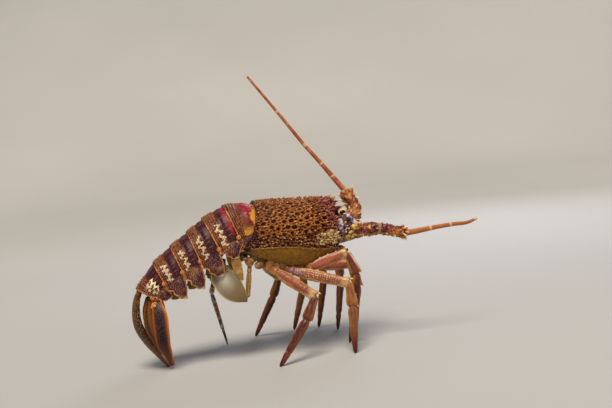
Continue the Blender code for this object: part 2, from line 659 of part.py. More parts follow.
def make_stalk(tag, joints, girth):
    """The two long spiny joints of an antenna's stalk, each its own piece."""
    root, elbow, end = (Vector(p) for p in joints)
    first, second = (elbow - root).normalized(), (end - elbow).normalized()
    bend = (first + second).normalized()
    r = STALK_RADIUS * girth
    lower = (
        (root, 8.6, 8.0), (on_line(root, elbow, 0.35), 9.0, 8.2), (on_line(root, elbow, 0.68), r, r * 0.9),
        (elbow - bend * GAP / 2, r * 0.92, r * 0.84),
    )
    upper = (
        (elbow + bend * GAP / 2, r * 0.92, r * 0.84), (on_line(elbow, end, 0.25), r, r * 0.9),
        (on_line(elbow, end, 0.7), r * 0.97, r * 0.88), (end, r * 0.72, r * 0.7),
    )
    base = limb(f"antenna_{tag}_base", *split_rows(lower), Vector((1, 0, 0)), bend, SHELL, sides=10)
    fuse(base, thorns_round(lower[0][0], lower[-1][0], r * 0.86, ((0.22, 4, 3.5), (0.48, 5, 3.6))))
    top = limb(f"antenna_{tag}_upper", *split_rows(upper), bend, second, SHELL, sides=10)
    fuse(top, thorns_round(upper[0][0], upper[-1][0], r * 0.86, ((0.34, 4, 4.5), (0.58, 5, 5.0), (0.84, 6, 5.5))))


def make_whip(tag, joints, points):
    """The antenna's round whip, which narrows from the stalk's end to its tip."""
    end, before = Vector(joints[2]), Vector(joints[1])
    out = (end - before).normalized()
    path = [end + out * GAP, *points]
    radii = [mix(WHIP_RADIUS, WHIP_TIP, (i / (len(path) - 1)) ** 0.8) for i in range(len(path))]
    sizes = [(r, r) for r in radii]
    last = Vector(points[-1]) - Vector(points[-2])
    limb(f"antenna_{tag}_whip", path, sizes, out, last, LIMB, sides=8)


def make_mouth_legs():
    """The third pair of mouth legs, folded under the head."""
    for side, tag in ((-1, "right"), (1, "left")):
        rows = (
            ((34.3, side * 4.6, 105.6), 3.4, 3.0), ((44.0, side * 7.5, 104.5), 4.0, 3.0),
            ((54.0, side * 9.5, 108.0), 3.4, 2.7), ((59.5, side * 9.0, 105.0), 2.6, 2.4),
            ((58.0, side * 8.5, 97.0), 2.6, 2.2), ((51.0, side * 8.0, 88.0), 1.0, 1.0),
        )
        limb(f"mouth_leg_{tag}", *split_rows(rows), (1, 0, 0), (-0.5, 0, -0.8), LIMB)


def swimmeret_path(n, side):
    """Middle line, half widths and width direction of the swimmeret under ring n."""
    if n == 2:
        return [Vector((x, side * y, z)) for x, y, z in LEAF_PATH], LEAF_HALVES, Vector((0.8, 0, 0.6))
    middle = mix(JOINTS[n - 1], JOINTS[n], 0.45)
    up = Vector((middle[1][0] - middle[0][0], 0, middle[1][1] - middle[0][1])).normalized()
    ahead = Vector((up.z, 0, -up.x))
    start = Vector((middle[0][0], side * middle[2] * 0.36, middle[0][1])) - up * (middle[3] + 1.0)
    path = [start - ahead * back - up * down for back, down in ((0, 0), (2, 4), (6, 8), (12, 11), (18, 12))]
    return path, (2.2, 4.6, 6.0, 4.8, 1.0), Vector((0, 1, 0))


def make_swimmerets():
    """Leaf-shaped swimmerets under the second to fifth rings; the first pair hangs down and forward."""
    for n in range(2, 6):
        for side, tag in ((-1, "right"), (1, "left")):
            path, halves, wide = swimmeret_path(n, side)
            blade(f"swimmeret_{tag}_{n}", path, wide, halves, 1.0, PALE, 0.3, 8)


def centre_on_floor():
    """Moves every piece so that the origin is at the middle of the footprint's box, on the floor."""
    bpy.context.view_layer.update()
    points = [v.co for o in bpy.context.scene.objects for v in o.data.vertices]
    low = Vector((min(p.x for p in points), min(p.y for p in points), min(p.z for p in points)))
    high = Vector((max(p.x for p in points), max(p.y for p in points), 0))
    shift = Vector(((low.x + high.x) / 2, (low.y + high.y) / 2, low.z))
    for obj in bpy.context.scene.objects:
        for v in obj.data.vertices:
            v.co -= shift
        obj.data.update()
    print("SHIFT mm", [round(c / MM, 2) for c in shift])


def main():
    for obj in list(bpy.data.objects):
        bpy.data.objects.remove(obj)
    random.seed(SEED)
    make_carapace()
    make_abdomen()
    make_tail_fan()
    make_sternum()
    make_legs()
    make_head()
    make_eyes()
    make_antennules()
    make_stalk("right", RIGHT_STALK, 1.0)
    make_stalk("left", LEFT_STALK, 1.1)
    make_whip("right", RIGHT_STALK, RIGHT_WHIP)
    make_whip("left", LEFT_STALK, LEFT_WHIP)
    make_mouth_legs()
    make_swimmerets()
    centre_on_floor()


main()
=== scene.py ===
import math

import bpy
import numpy as np
from mathutils import Matrix, Vector


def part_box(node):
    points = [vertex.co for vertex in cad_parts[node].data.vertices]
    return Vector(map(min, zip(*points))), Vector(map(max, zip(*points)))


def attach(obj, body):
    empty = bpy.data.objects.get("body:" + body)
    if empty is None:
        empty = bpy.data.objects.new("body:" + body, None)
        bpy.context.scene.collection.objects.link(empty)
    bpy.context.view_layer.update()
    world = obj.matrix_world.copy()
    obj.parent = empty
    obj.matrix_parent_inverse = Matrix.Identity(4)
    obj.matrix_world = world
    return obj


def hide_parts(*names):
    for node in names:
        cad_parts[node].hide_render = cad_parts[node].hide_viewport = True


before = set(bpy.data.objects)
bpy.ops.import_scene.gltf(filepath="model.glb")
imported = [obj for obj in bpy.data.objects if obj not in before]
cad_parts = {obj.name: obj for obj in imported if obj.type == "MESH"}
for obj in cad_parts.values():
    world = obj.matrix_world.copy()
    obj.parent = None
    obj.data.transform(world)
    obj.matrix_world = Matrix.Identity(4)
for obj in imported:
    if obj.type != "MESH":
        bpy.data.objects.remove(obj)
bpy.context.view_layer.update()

# The animal's place in the frame.
# Sizes below are the animal's own millimetres: y 0 is its middle plane, x 57.2 goes through its eyes and z 0
# is the floor. The solids are measured from the middle of their box, and two of them give the shift between.
eye_low, eye_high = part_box("eye_right")
telson_low, telson_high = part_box("telson")
own_zero = np.array([57.2 - 500 * (eye_low.x + eye_high.x), -500 * (telson_low.y + telson_high.y), 0.0])


def metres(points):
    """Points in the animal's own millimetres as metres of the frame."""
    return (np.asarray(points, float) - own_zero) / 1000


# Camera, lights and floor.
# The picture is taken from the animal's right and a little behind it, just above the floor, with the camera
# turned a few degrees. A broad warm lamp hangs overhead, with weaker ones in front and behind. The floor is a
# pale painted sheet, flat for 3 m round the animal and then bent up on all sides, so no edge of it shows.
turn, height, roll = math.radians(10.0), math.radians(5.0), math.radians(6.5)
back = Vector((-math.sin(turn) * math.cos(height), -math.cos(turn) * math.cos(height), math.sin(height)))
level = Vector((0, 0, 1)).cross(back).normalized()
upright = back.cross(level)
right = level * math.cos(roll) - upright * math.sin(roll)
top = level * math.sin(roll) + upright * math.cos(roll)
stand = Vector(metres((-184.12512, -1157.65111, 267.08998)))
lens = bpy.data.cameras.new("camera")
lens.lens, lens.sensor_width, lens.clip_start, lens.clip_end = 60.0, 36.0, 0.05, 30.0
camera = bpy.data.objects.new("camera", lens)
camera.matrix_world = Matrix([[right[i], top[i], back[i], stand[i]] for i in range(3)] + [[0, 0, 0, 1]])
bpy.context.scene.collection.objects.link(camera)
bpy.context.scene.camera = camera


def tint(code):
    """An sRGB hex colour as the linear colour that a socket takes."""
    parts = [int(code[i : i + 2], 16) / 255 for i in (1, 3, 5)]
    return [c / 12.92 if c <= 0.04045 else ((c + 0.055) / 1.055) ** 2.4 for c in parts] + [1.0]


def plug(tree, value, socket):
    """Sets a socket to a number or hex colour, or links it. A link with {place: colour} makes a ramp."""
    if isinstance(value, tuple) and isinstance(value[1], dict):
        value = add_node(tree, "ValToRGB", {"Fac": value[0]}, value[1])
    if isinstance(value, bpy.types.NodeSocket):
        tree.links.new(value, socket)
    else:
        socket.default_value = tint(value) if isinstance(value, str) else value


def add_node(tree, kind, inputs=None, stops=None, out=0, **settings):
    """Adds a node with its settings, inputs and the {place: colour} of a ramp. Gives one of its outputs."""
    made = tree.nodes.new("ShaderNode" + kind)
    for name, value in settings.items():
        setattr(made, name, value)
    for name, value in (inputs or {}).items():
        plug(tree, value, made.inputs[name])
    if stops:
        ramp = made.color_ramp
        while len(ramp.elements) < len(stops):
            ramp.elements.new(0.5)
        for element, (place, colour) in zip(ramp.elements, stops.items()):
            element.position = place
            element.color = tint(colour) if isinstance(colour, str) else (colour, colour, colour, 1)
    return made.outputs[out]


def new_finish(name, *names, **sockets):
    """A material whose shader has its sockets set. Gives also its nodes, the shader's sockets, the place on
    the object, and the values that the mesh carries under the given names."""
    finish = bpy.data.materials.new(name)
    finish.use_nodes = True
    tree = finish.node_tree
    shader = tree.nodes["Principled BSDF"].inputs
    for socket, value in sockets.items():
        shader[socket.replace("_", " ")].default_value = value
    place = add_node(tree, "TexCoord", out="Object")
    fields = {field: add_node(tree, "Attribute", out="Fac", attribute_name=field) for field in names}
    return finish, tree, shader, place, fields


def paint(tree, shader, ground, *coats, relief=None, strength=0.4, depth=0.5, invert=False):
    """Gives a shader its ground colour and coats over it, each a colour and shares whose product it covers.
    relief is the pattern that stands out of the surface, by a depth in millimetres."""
    for colour, share, *factors in coats:
        for factor in factors:
            share = add_node(tree, "Math", {0: share, 1: factor}, operation="MULTIPLY")
        ground = add_node(tree, "MixRGB", {"Fac": share, "Color1": ground, "Color2": colour})
    plug(tree, ground, shader["Base Color"])
    if relief is not None:
        sizes = {"Height": relief, "Strength": strength, "Distance": depth / 1000}
        plug(tree, add_node(tree, "Bump", sizes, invert=invert), shader["Normal"])


for name, kind, place, size, power, colour in (
    ("lamp_overhead", "SUN", (-0.15, -0.45, 1.25), 0.5, 3.3, "#FFF0DA"),
    ("lamp_front", "AREA", (-0.3, -1.3, 0.5), 0.9, 3.0, "#FFF3E4"),
    ("lamp_behind", "AREA", (0.6, 1.0, 0.8), 0.7, 5.0, "#EAF1FF"),
):
    lamp = bpy.data.lights.new(name, kind)
    lamp.energy, lamp.color = power, tint(colour)[:3]
    if kind == "SUN":
        lamp.angle = size
    else:
        lamp.size = size
    holder = bpy.data.objects.new(name, lamp)
    holder.location = place
    holder.rotation_euler = (Vector(place) - Vector((0, 0, 0.12))).to_track_quat("Z", "Y").to_euler()
    bpy.context.scene.collection.objects.link(holder)

sky = bpy.data.worlds.new("studio")
sky.use_nodes = True
sky.node_tree.nodes["Background"].inputs["Color"].default_value = tint("#D9DCDD")
sky.node_tree.nodes["Background"].inputs["Strength"].default_value = 0.2
bpy.context.scene.world = sky
bpy.context.scene.view_settings.view_transform = "Standard"

flat_reach, curl = 3.0, 3.0  # metres of flat floor round the animal, radius of the bend
bpy.ops.object.select_all(action="DESELECT")
bpy.ops.mesh.primitive_grid_add(x_subdivisions=80, y_subdivisions=80, size=16.0)
floor = bpy.context.object
floor.name = "floor"
for point in floor.data.vertices:
    away = math.hypot(point.co.x, point.co.y)
    bend = min(max(0.0, away - flat_reach) / curl, math.pi / 2)
    point.co.z = curl * (1 - math.cos(bend)) + max(0.0, away - flat_reach - curl * math.pi / 2)
    if bend:
        point.co.xy = point.co.xy * (flat_reach + curl * math.sin(bend)) / away
bpy.ops.object.shade_smooth()
# Rolled wall paint: dead matt, one even pale grey with faint clouds.
floor_paint, tree, shader, _, _ = new_finish("pale_floor_paint", Roughness=0.85)
grain = add_node(tree, "TexNoise", {"Scale": 9.0, "Detail": 3.0})
paint(tree, shader, (grain, {0.3: "#ACAEB2", 0.7: "#B4B6B9"}))
floor.data.materials.append(floor_paint)

# Carapace.
# The shell over the head and chest is one stiff plate of chitin and lime, grown in one piece and bent down at
# both sides over the gills. Golden scales stand all over it, with smooth dark maroon patches between them.
dice = np.random.default_rng(7)
shell_rows = (
    (-64.0, 173.5, 36.5, 150.0, 126.5, 33.0),
    (-50.0, 176.0, 38.5, 148.0, 117.0, 34.0),
    (-32.0, 175.5, 41.0, 143.0, 109.0, 34.5),
    (-12.0, 173.5, 42.0, 139.0, 101.5, 34.5),
    (8.0, 172.0, 41.0, 137.0, 100.5, 33.0),
    (28.0, 170.5, 37.0, 138.0, 105.0, 29.5),
    (42.0, 168.0, 32.5, 140.0, 111.0, 25.5),
    (54.0, 161.0, 27.5, 142.0, 119.0, 21.5),
)  # x, height of the back, half width, height of the widest line, height of the margin, half width there
belly_line = ((-66, 134.3), (-46, 121.0), (-34, 114.0), (-20, 108.5), (20, 108.5), (34, 111.5), (54, 122.5))
seam_line = ((-62, 125.5), (-40, 124.6), (-20, 123.5), (0, 120.4), (16, 116.5), (30, 114.4), (44, 113.5))


def read_rows(table, at):
    """The columns of a table at given places along its first column, on one smooth curve through its rows."""
    table = np.asarray(table, float)
    knots, values = table[:, 0], table[:, 1:]
    slopes = np.gradient(values, knots, axis=0)
    at = np.clip(np.asarray(at, float), knots[0], knots[-1])
    low = np.clip(np.searchsorted(knots, at, side="right") - 1, 0, len(knots) - 2)
    span = (knots[low + 1] - knots[low])[..., None]
    t = (at - knots[low])[..., None] / span
    a, b = values[low], values[low + 1]
    bend = slopes[low] * span * (t ** 3 - 2 * t ** 2 + t) + slopes[low + 1] * span * (t ** 3 - t ** 2)
    return a * (2 * t ** 3 - 3 * t ** 2 + 1) + b * (3 * t ** 2 - 2 * t ** 3) + bend


def soft(value, low, high):
    """0 at low, 1 at high, with a soft step between. low may be the larger."""
    t = np.clip((np.asarray(value, float) - low) / (high - low), 0, 1)
    return t * t * (3 - 2 * t)


def carapace_form(along, across):
    """Points of the smooth shell: along 0 to 1 from rear to front, across -1 to 1 from right to left."""
    u = np.abs(across)
    rear = read_rows(((0, -41.5), (0.35, -43.5), (0.62, -48), (0.8, -55.5), (0.92, -60.5), (1, -62)),
                     u)[..., 0]
    groove = 17 + 22 * np.minimum(1, u / 0.8) ** 1.4
    front = read_rows(((0, 52.5), (0.25, 50), (0.5, 47.5), (0.66, 47), (0.8, 49.5), (0.9, 51.5), (1, 53)),
                      u)[..., 0]
    x = np.where(along <= 0.6, rear + (groove - rear) * along / 0.6,
                 groove + (front - groove) * (along - 0.6) / 0.4)
    back_z, half, widest, margin, margin_half = np.moveaxis(read_rows(shell_rows, x), -1, 0)
    high = (1 - np.minimum(u / 0.62, 1)) * np.pi / 2
    low = (1 - np.maximum(u - 0.62, 0) / 0.38) * np.pi / 2
    y = np.where(u <= 0.62, half * np.cos(high) ** 0.92, margin_half + (half - margin_half) * np.sin(low))
    z_high = widest + (back_z - widest) * np.sin(high) ** 0.92
    z = np.where(u <= 0.62, z_high, margin + (widest - margin) * (1 - np.cos(low)))
    return np.stack([x, np.copysign(y, across), z], -1)


def normals_of(points, outward):
    """Unit normals of an array of points in rows and columns, turned to the side of outward."""
    normals = np.cross(np.gradient(points, axis=0), np.gradient(points, axis=1))
    normals /= np.linalg.norm(normals, axis=-1, keepdims=True) + 1e-12
    return normals * np.sign((normals * outward).sum(-1).mean())


def ripple(points, size, seed=0.0):
    """A smooth random height of about -1 to 1 that changes over a length of size, from crossed waves."""
    p = np.asarray(points) / size
    waves = ((1.9, 0.7, 0.4), (-0.8, 1.7, 0.9), (0.5, -1.1, 1.8), (2.7, 1.9, -1.3), (-1.7, 2.9, 2.1),
             (3.3, -2.3, 1.1))
    return sum(np.sin(p @ np.array(w) * 2.1 + seed * (i + 1.7)) for i, w in enumerate(waves)) / 3.2


def unit(vectors):
    """Vectors brought to length 1."""
    return vectors / np.linalg.norm(vectors, axis=-1, keepdims=True)


def lay_skin(name, points, span, fields=None):
    """A closed skin made from a grid primitive whose points take their places from rows and columns.
    span is the real size in metres, across and along, that its UV map covers, and each field is kept as an
    attribute of the points. Points that lie on each other, as at a seam or a pole, are merged."""
    rows, columns = points.shape[:2]
    bpy.ops.object.select_all(action="DESELECT")
    bpy.ops.mesh.primitive_grid_add(x_subdivisions=columns - 1, y_subdivisions=rows - 1, size=1)
    piece = bpy.context.object
    piece.name = piece.data.name = name
    mesh = piece.data
    flat = np.empty(len(mesh.vertices) * 3, np.float32)
    mesh.vertices.foreach_get("co", flat)
    flat = flat.reshape(-1, 3)
    column = np.rint((flat[:, 0] + 0.5) * (columns - 1)).astype(int)
    row = np.rint((flat[:, 1] + 0.5) * (rows - 1)).astype(int)
    mesh.vertices.foreach_set("co", metres(points[row, column]).astype(np.float32).ravel())
    uv = np.empty(len(mesh.loops) * 2, np.float32)
    mesh.uv_layers[0].data.foreach_get("uv", uv)
    mesh.uv_layers[0].data.foreach_set("uv", (uv.reshape(-1, 2) * np.array(span, np.float32)).ravel())
    for field, values in (fields or {}).items():
        values = np.broadcast_to(values, points.shape[:2])[row, column].astype(np.float32)
        mesh.attributes.new(field, "FLOAT", "POINT").data.foreach_set("value", values)
    mesh.update()
    bpy.ops.object.mode_set(mode="EDIT")
    bpy.ops.mesh.select_all(action="SELECT")
    bpy.ops.mesh.remove_doubles(threshold=2e-6)
    bpy.ops.mesh.normals_make_consistent(inside=False)
    bpy.ops.object.mode_set(mode="OBJECT")
    bpy.ops.object.shade_smooth()
    return piece


def hand_over(piece, finish, slot, *nodes):
    """Gives a finished piece its material and its ride, and hides the solids that it stands for. slot is not
    used.
    """
    piece.data.materials.append(finish)
    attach(piece, "root")
    if nodes:
        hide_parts(*nodes)


def spread(points, apart, allowed, tries, most):
    """Indexes of points chosen at random, none nearer to another than its own entry in apart."""
    order = dice.permutation(np.flatnonzero(allowed))[:tries]
    chosen, places = [], np.empty((most, 3))
    for i in order:
        n = len(chosen)
        if n == most:
            break
        if n == 0 or ((places[:n] - points[i]) ** 2).sum(1).min() > apart[i] ** 2:
            places[n] = points[i]
            chosen.append(i)
    return np.array(chosen)


along, across = np.meshgrid(np.linspace(0, 1, 176), np.linspace(-1, 1, 297), indexing="ij")
smooth_shell = carapace_form(along, across)
shell_x, shell_z, shell_u = smooth_shell[..., 0], smooth_shell[..., 2], np.abs(across)
shell_out = normals_of(smooth_shell, smooth_shell - np.stack([shell_x, 0 * shell_x, 140 + 0 * shell_x], -1))
seam = read_rows(seam_line, shell_x)[..., 0]
cheek = np.hypot((shell_x - 38) / 15, (shell_z - 125.5) / 8.5)
regions = {
    "band": soft(shell_z, seam + 0.6, seam - 0.6) * soft(shell_u, 0.66, 0.7) * soft(along, 0.02, 0.04),
    "rim": soft(along, 0.026, 0.018),
    "head": soft(shell_x - (34 - 0.25 * (shell_z - 140)), -7, 5) * soft(shell_z, 120, 130),
    "cream": soft(cheek + 0.35 * ripple(smooth_shell, 7.0, 3.0), 1.2, 0.7) * soft(shell_u, 0.6, 0.68),
    "gold": soft(np.hypot((shell_x + 2) / 52, (shell_z - 151) / 20), 1.15, 0.35),
    # corner: the dark lower rear corner of the shell, its own colour, and at half share all of the low part,
    # darker towards the bottom as painted shade
    "corner": np.maximum(soft(np.hypot((shell_x + 53) / 13, (shell_z - 131) / 15), 1.1, 0.6),
                         0.5 * soft(shell_z, 142, 124)),
    "margin": soft(along, 0.02, 0.04) * np.maximum(
        soft(shell_u, 0.965, 0.985), 0.7 * soft(np.abs(shell_z - seam), 0.9, 0.3) * soft(shell_u, 0.66, 0.7)),
}
bare_cheek = 0.9 * soft(cheek, 1.15, 0.6) * soft(shell_u, 0.6, 0.68)
plain = np.maximum.reduce([regions["band"], regions["rim"], bare_cheek])
flat_points, flat_out = smooth_shell.reshape(-1, 3), shell_out.reshape(-1, 3)
high_up = soft(shell_u, 0.42, 0.2).ravel()
large = 1.25 + 0.55 * regions["gold"].ravel() + dice.uniform(-0.25, 0.45, len(flat_points)) - 0.35 * high_up
small = dice.uniform(0.6, 1.15, len(flat_points)) - 0.1 * high_up
nearness = np.full(len(flat_points), 9.0)
for patch_wide, apart, tries in (
    (large, 6.6 - 2.6 * high_up - 0.8 * regions["head"].ravel(), 9000),
    (small, np.full(len(flat_points), 2.75), 20000),
):  # patch radius, room between patch middles, tries
    for i in spread(flat_points, apart, (plain.ravel() < 0.35) & (nearness > 1.7), tries, 2200):
        wide = patch_wide[i]
        near = np.flatnonzero(np.abs(flat_points[:, 0] - flat_points[i, 0]) < wide * 4 + 6)
        gap = flat_points[near] - flat_points[i]
        away = np.sqrt((gap[:, 0] / (1.35 + 0.4 * high_up[i])) ** 2 + gap[:, 1] ** 2 + gap[:, 2] ** 2) - wide
        nearness[near] = np.minimum(nearness[near], away)
regions["patch"] = nearness.reshape(along.shape)  # millimetres outside the edge of the nearest dark patch

neck_deep, patch_deep, line_deep = 2.3, 0.5, 0.7  # millimetres
seam_high, lump_high, cheek_high = 0.8, 0.32, 0.7
neck = np.exp(-(((along - 0.6) / 0.028) ** 2)) * soft(shell_u, 0.97, 0.8)
lip = read_rows(((0, -0.8), (0.006, -0.1), (0.018, 0.1), (0.027, -0.5), (0.04, -0.1), (0.06, 0), (1, 0)),
                along)[..., 0]
lift = lip * soft(shell_u, 0.95, 0.75) - neck_deep * neck
lift += lump_high * ripple(smooth_shell, 9.0) * (1 - regions["band"]) * (1 - regions["rim"])
lift -= patch_deep * soft(regions["patch"], 0.6, -0.3) * (1 - plain)
on_seam = np.exp(-(((shell_z - seam) / 1.3) ** 2)) * soft(shell_u, 0.62, 0.7)
on_line = np.exp(-(((shell_u - 0.2 - 0.06 * along) / 0.02) ** 2)) * soft(along, 0.55, 0.45)
lift += seam_high * on_seam * soft(along, 0.04, 0.1) - line_deep * on_line * soft(along, 0.08, 0.2)
lift += cheek_high * regions["cream"] * ripple(smooth_shell, 3.2, 2.0)
back_skin = smooth_shell + shell_out * lift[..., None]

rows = []
for row in back_skin:
    start, end = row[0], row[-1]
    inner, deep = max(6.0, abs(start[1]) - 3.0), read_rows(belly_line, start[0])[0]
    under = [(end[0], inner, end[2] + 0.4), (end[0], inner - 2.5, deep), (end[0], 0, deep + 0.5),
             (start[0], -inner + 2.5, deep), (start[0], -inner, start[2] + 0.4), start]
    rows.append(np.concatenate([row, np.array(under)]))
loops = np.array(rows)
mouth = (loops[0] - [0, 0, 145]) * [1, 0.93, 0.93] + [0, 0, 145]
hollow_end = -40.0
depth = mouth * [0, 1, 1] + [hollow_end, 0, 0]
front = (loops[-1] - [0, 0, 140]) * [1, 0.95, 0.95] + [-0.8, 0, 140]
ends = [np.repeat([[x, 0, z]], loops.shape[1], 0) for x, z in ((hollow_end, 150.0), (44.0, 140.0))]
skin = np.concatenate([[ends[0], depth, mouth], loops, [front, ends[1]]])
wide_fields = {}
for name, values in regions.items():
    wide = np.concatenate([values, np.repeat(values[:, -1:], 6, 1)], 1)
    wide_fields[name] = np.concatenate([np.repeat(wide[:1], 3, 0), wide, np.repeat(wide[-1:], 2, 0)])
carapace = lay_skin("carapace_shell", skin, (0.22, 0.108), wide_fields)


def wavering(tree, value, pattern, wide, shift):
    """A value with a pattern added, which breaks up the edges that a ramp makes of it."""
    swing = add_node(tree, "Math", {0: pattern, 1: wide, 2: shift}, operation="MULTIPLY_ADD")
    return add_node(tree, "Math", {0: value, 1: swing}, operation="ADD")


# Chitin hardened with lime and worn dull: a low gloss like bone, golden brown round smooth near-black spots.
shell_finish, tree, shader, place, fields = new_finish(
    "carapace_chitin", *regions, Roughness=0.5, Specular_IOR_Level=0.15)
wander, cloud, fine = (
    add_node(tree, "TexNoise", {"Vector": place, "Scale": 1000 / size, "Detail": detail, "Roughness": rough})
    for size, detail, rough in ((2.38, 2.0, 0.5), (11.11, 3.0, 0.5), (3.846, 4.0, 0.65))
)  # sizes in millimetres
fleck = add_node(tree, "TexVoronoi", {"Vector": place, "Scale": 1000 / 2.3, "Randomness": 0.9},
                 out="Distance")
paint(
    tree, shader, (cloud, {0.32: "#58290C", 0.55: "#804616", 0.75: "#9E5E22"}),
    ("#B46C1E", fields["gold"], 0.45),
    ("#5E2230", fields["head"], 0.7),
    ("#330E07", (fleck, {0.12: 0.65, 0.3: 0.0})),
    ((cloud, {0.35: "#120306", 0.7: "#2C0812"}),
     (wavering(tree, fields["patch"], wander, 1.3, -0.4), {0.25: 1.0, 0.45: 0.0})),
    ((fleck, {0.18: "#FFEBBE", 0.38: "#E4AE5E", 0.56: "#6E3A1A"}), fields["cream"]),
    ((fine, {0.3: "#6E4A0E", 0.55: "#96681E", 0.8: "#B88A38"}), fields["band"]),
    ((fleck, {0.12: "#C89858", 0.28: "#7A4418", 0.5: "#33140A"}), fields["rim"]),
    # Near black over the lower rear corner, its own colour, and at half share over the low part of the shell
    # as painted shade
    ("#14101C", fields["corner"], 0.45),
    ("#C09A48", (fields["margin"], {0.3: 0.0, 0.8: 0.75})),
    relief=add_node(tree, "Math", {0: fleck, 1: -0.7, 2: fine}, operation="MULTIPLY_ADD"),
    strength=0.5, depth=0.6,
)
hand_over(carapace, shell_finish, "shell", "carapace")

# Scales and thorns of the carapace.
# Each scale is a low forward-pointing cone of the shell itself, golden, many with a painted highlight at the
# point.
# The thorns among them are the same thing grown long, longest on the head, and both leave the dark patches
# bare.


def ringed_form(rings, sides):
    """A small closed form from rings of radius, shift ahead, height and tip share. The last is a point."""
    points, tips, faces = [], [], []
    for n, (radius, shift, z, tip) in enumerate(rings[:-1]):
        for i in range(sides):
            angle = 2 * math.pi * i / sides
            points.append((shift + radius * math.cos(angle), radius * math.sin(angle), z))
            tips.append(tip)
        if n:
            low, high = (n - 1) * sides, n * sides
            faces += [(low + i, low + (i + 1) % sides, high + (i + 1) % sides, high + i)
                      for i in range(sides)]
    points.append((rings[-1][1], 0.0, rings[-1][2]))
    tips.append(rings[-1][3])
    last, high = len(points) - 1, (len(rings) - 2) * sides
    faces += [(high + i, high + (i + 1) % sides, last) for i in range(sides)]
    faces.append(tuple(range(sides))[::-1])
    return np.array(points), faces, np.array(tips)


def scatter(name, form, roots, outward, ahead, sizes, fields, patches):
    """One mesh of many copies of a small form, each on its root with its own size. patches are the places
    of the roots on an unwrap of what carries them, where each copy has a tiny patch of the map for baking."""
    points, faces, tips = form
    up = unit(outward)
    side = unit(np.cross(up, ahead))
    axes = np.stack([np.cross(side, up), side, up], 1) * sizes[:, :, None]
    placed = roots[:, None, :] + np.einsum("kc,ncd->nkd", points, axes)
    count, each = len(roots), len(points)
    mesh = bpy.data.meshes.new(name)
    corners = [tuple(i + n * each for i in face) for n in range(count) for face in faces]
    mesh.from_pydata(metres(placed.reshape(-1, 3)).tolist(), [], corners)
    for field, values in {**fields, "tip": None}.items():
        values = np.tile(tips, count) if values is None else np.repeat(values, each)
        mesh.attributes.new(field, "FLOAT", "POINT").data.foreach_set("value", values.astype(np.float32))
    loops = np.empty(len(mesh.loops), np.int32)
    mesh.loops.foreach_get("vertex_index", loops)
    flat = points[:, :2] / np.abs(points[:, :2]).max() * 0.0015
    patch = np.repeat(patches, each, 0) + np.tile(flat, (count, 1))
    mesh.uv_layers.new(name="OFBake").data.foreach_set("uv", patch[loops].astype(np.float32).ravel())
    piece = bpy.data.objects.new(name, mesh)
    bpy.context.scene.collection.objects.link(piece)
    mesh.shade_smooth()
    return piece


scale_form = ringed_form(((1.0, 0.0, -0.45, 0.0), (0.9, 0.1, 0.3, 0.25), (0.5, 0.55, 0.72, 0.7),
                          (0, 1.15, 0.9, 1.0)), 7)
thorn_form = ringed_form(
    ((1.35, 0, -0.22, 0), (1.0, 0, 0.06, 0.05), (0.72, 0.03, 0.25, 0.25), (0.5, 0.1, 0.5, 0.5),
     (0.27, 0.25, 0.78, 0.8), (0, 0.5, 1.0, 1.0)), 8)

skin_flat = back_skin.reshape(-1, 3)
forward = unit(np.gradient(back_skin, axis=0).reshape(-1, 3))
unwrap = np.stack([across.ravel() * 0.48 + 0.5, along.ravel() * 0.96 + 0.02], 1)


def marks_of(at):
    """The regions of the shell at some of its points, and a random shade for each."""
    marks = {name: regions[name].ravel()[at] for name in ("gold", "head", "cream", "corner")}
    return {**marks, "shade": dice.random(len(at))}


scaly = ((regions["patch"] > 0.65) & (regions["band"] < 0.3) & (regions["rim"] < 0.4)).ravel()
scale_apart = (1.95 + 0.3 * soft(shell_u, 0.6, 1.0) - 0.15 * regions["head"]).ravel()
at = spread(skin_flat, scale_apart, scaly & (shell_u.ravel() < 0.985), 30000, 3400)
big = dice.uniform(0.62, 1.3, len(at))
tall = 0.95 + 0.4 * regions["head"].ravel()[at] - 0.4 * high_up[at]
sizes = np.stack([1.15 * big, 1.0 * big, tall * big], 1)
scales = scatter("carapace_scales", scale_form, skin_flat[at], flat_out[at], forward[at], sizes, marks_of(at),
                 unwrap[at])

thorny = scaly & ((shell_u < 0.86) & (along > 0.12) & (along < 0.985) & (np.abs(along - 0.6) > 0.03)).ravel()
at = spread(skin_flat, (6.4 - 2.4 * regions["head"]).ravel(), thorny, 12000, 260)
long = (1.3 + 1.5 * soft(shell_x, -30, 45) + 0.8 * soft(shell_u, 0.35, 0.0)).ravel()[at]
long *= dice.uniform(0.8, 1.2, len(at))
sizes = np.stack([0.42 * long + 0.25, 0.42 * long + 0.25, long], 1)
lean = flat_out[at] * 0.68 + forward[at] * 0.75
thorns = scatter("carapace_thorns", thorn_form, skin_flat[at], lean, flat_out[at], sizes, marks_of(at),
                 unwrap[at])

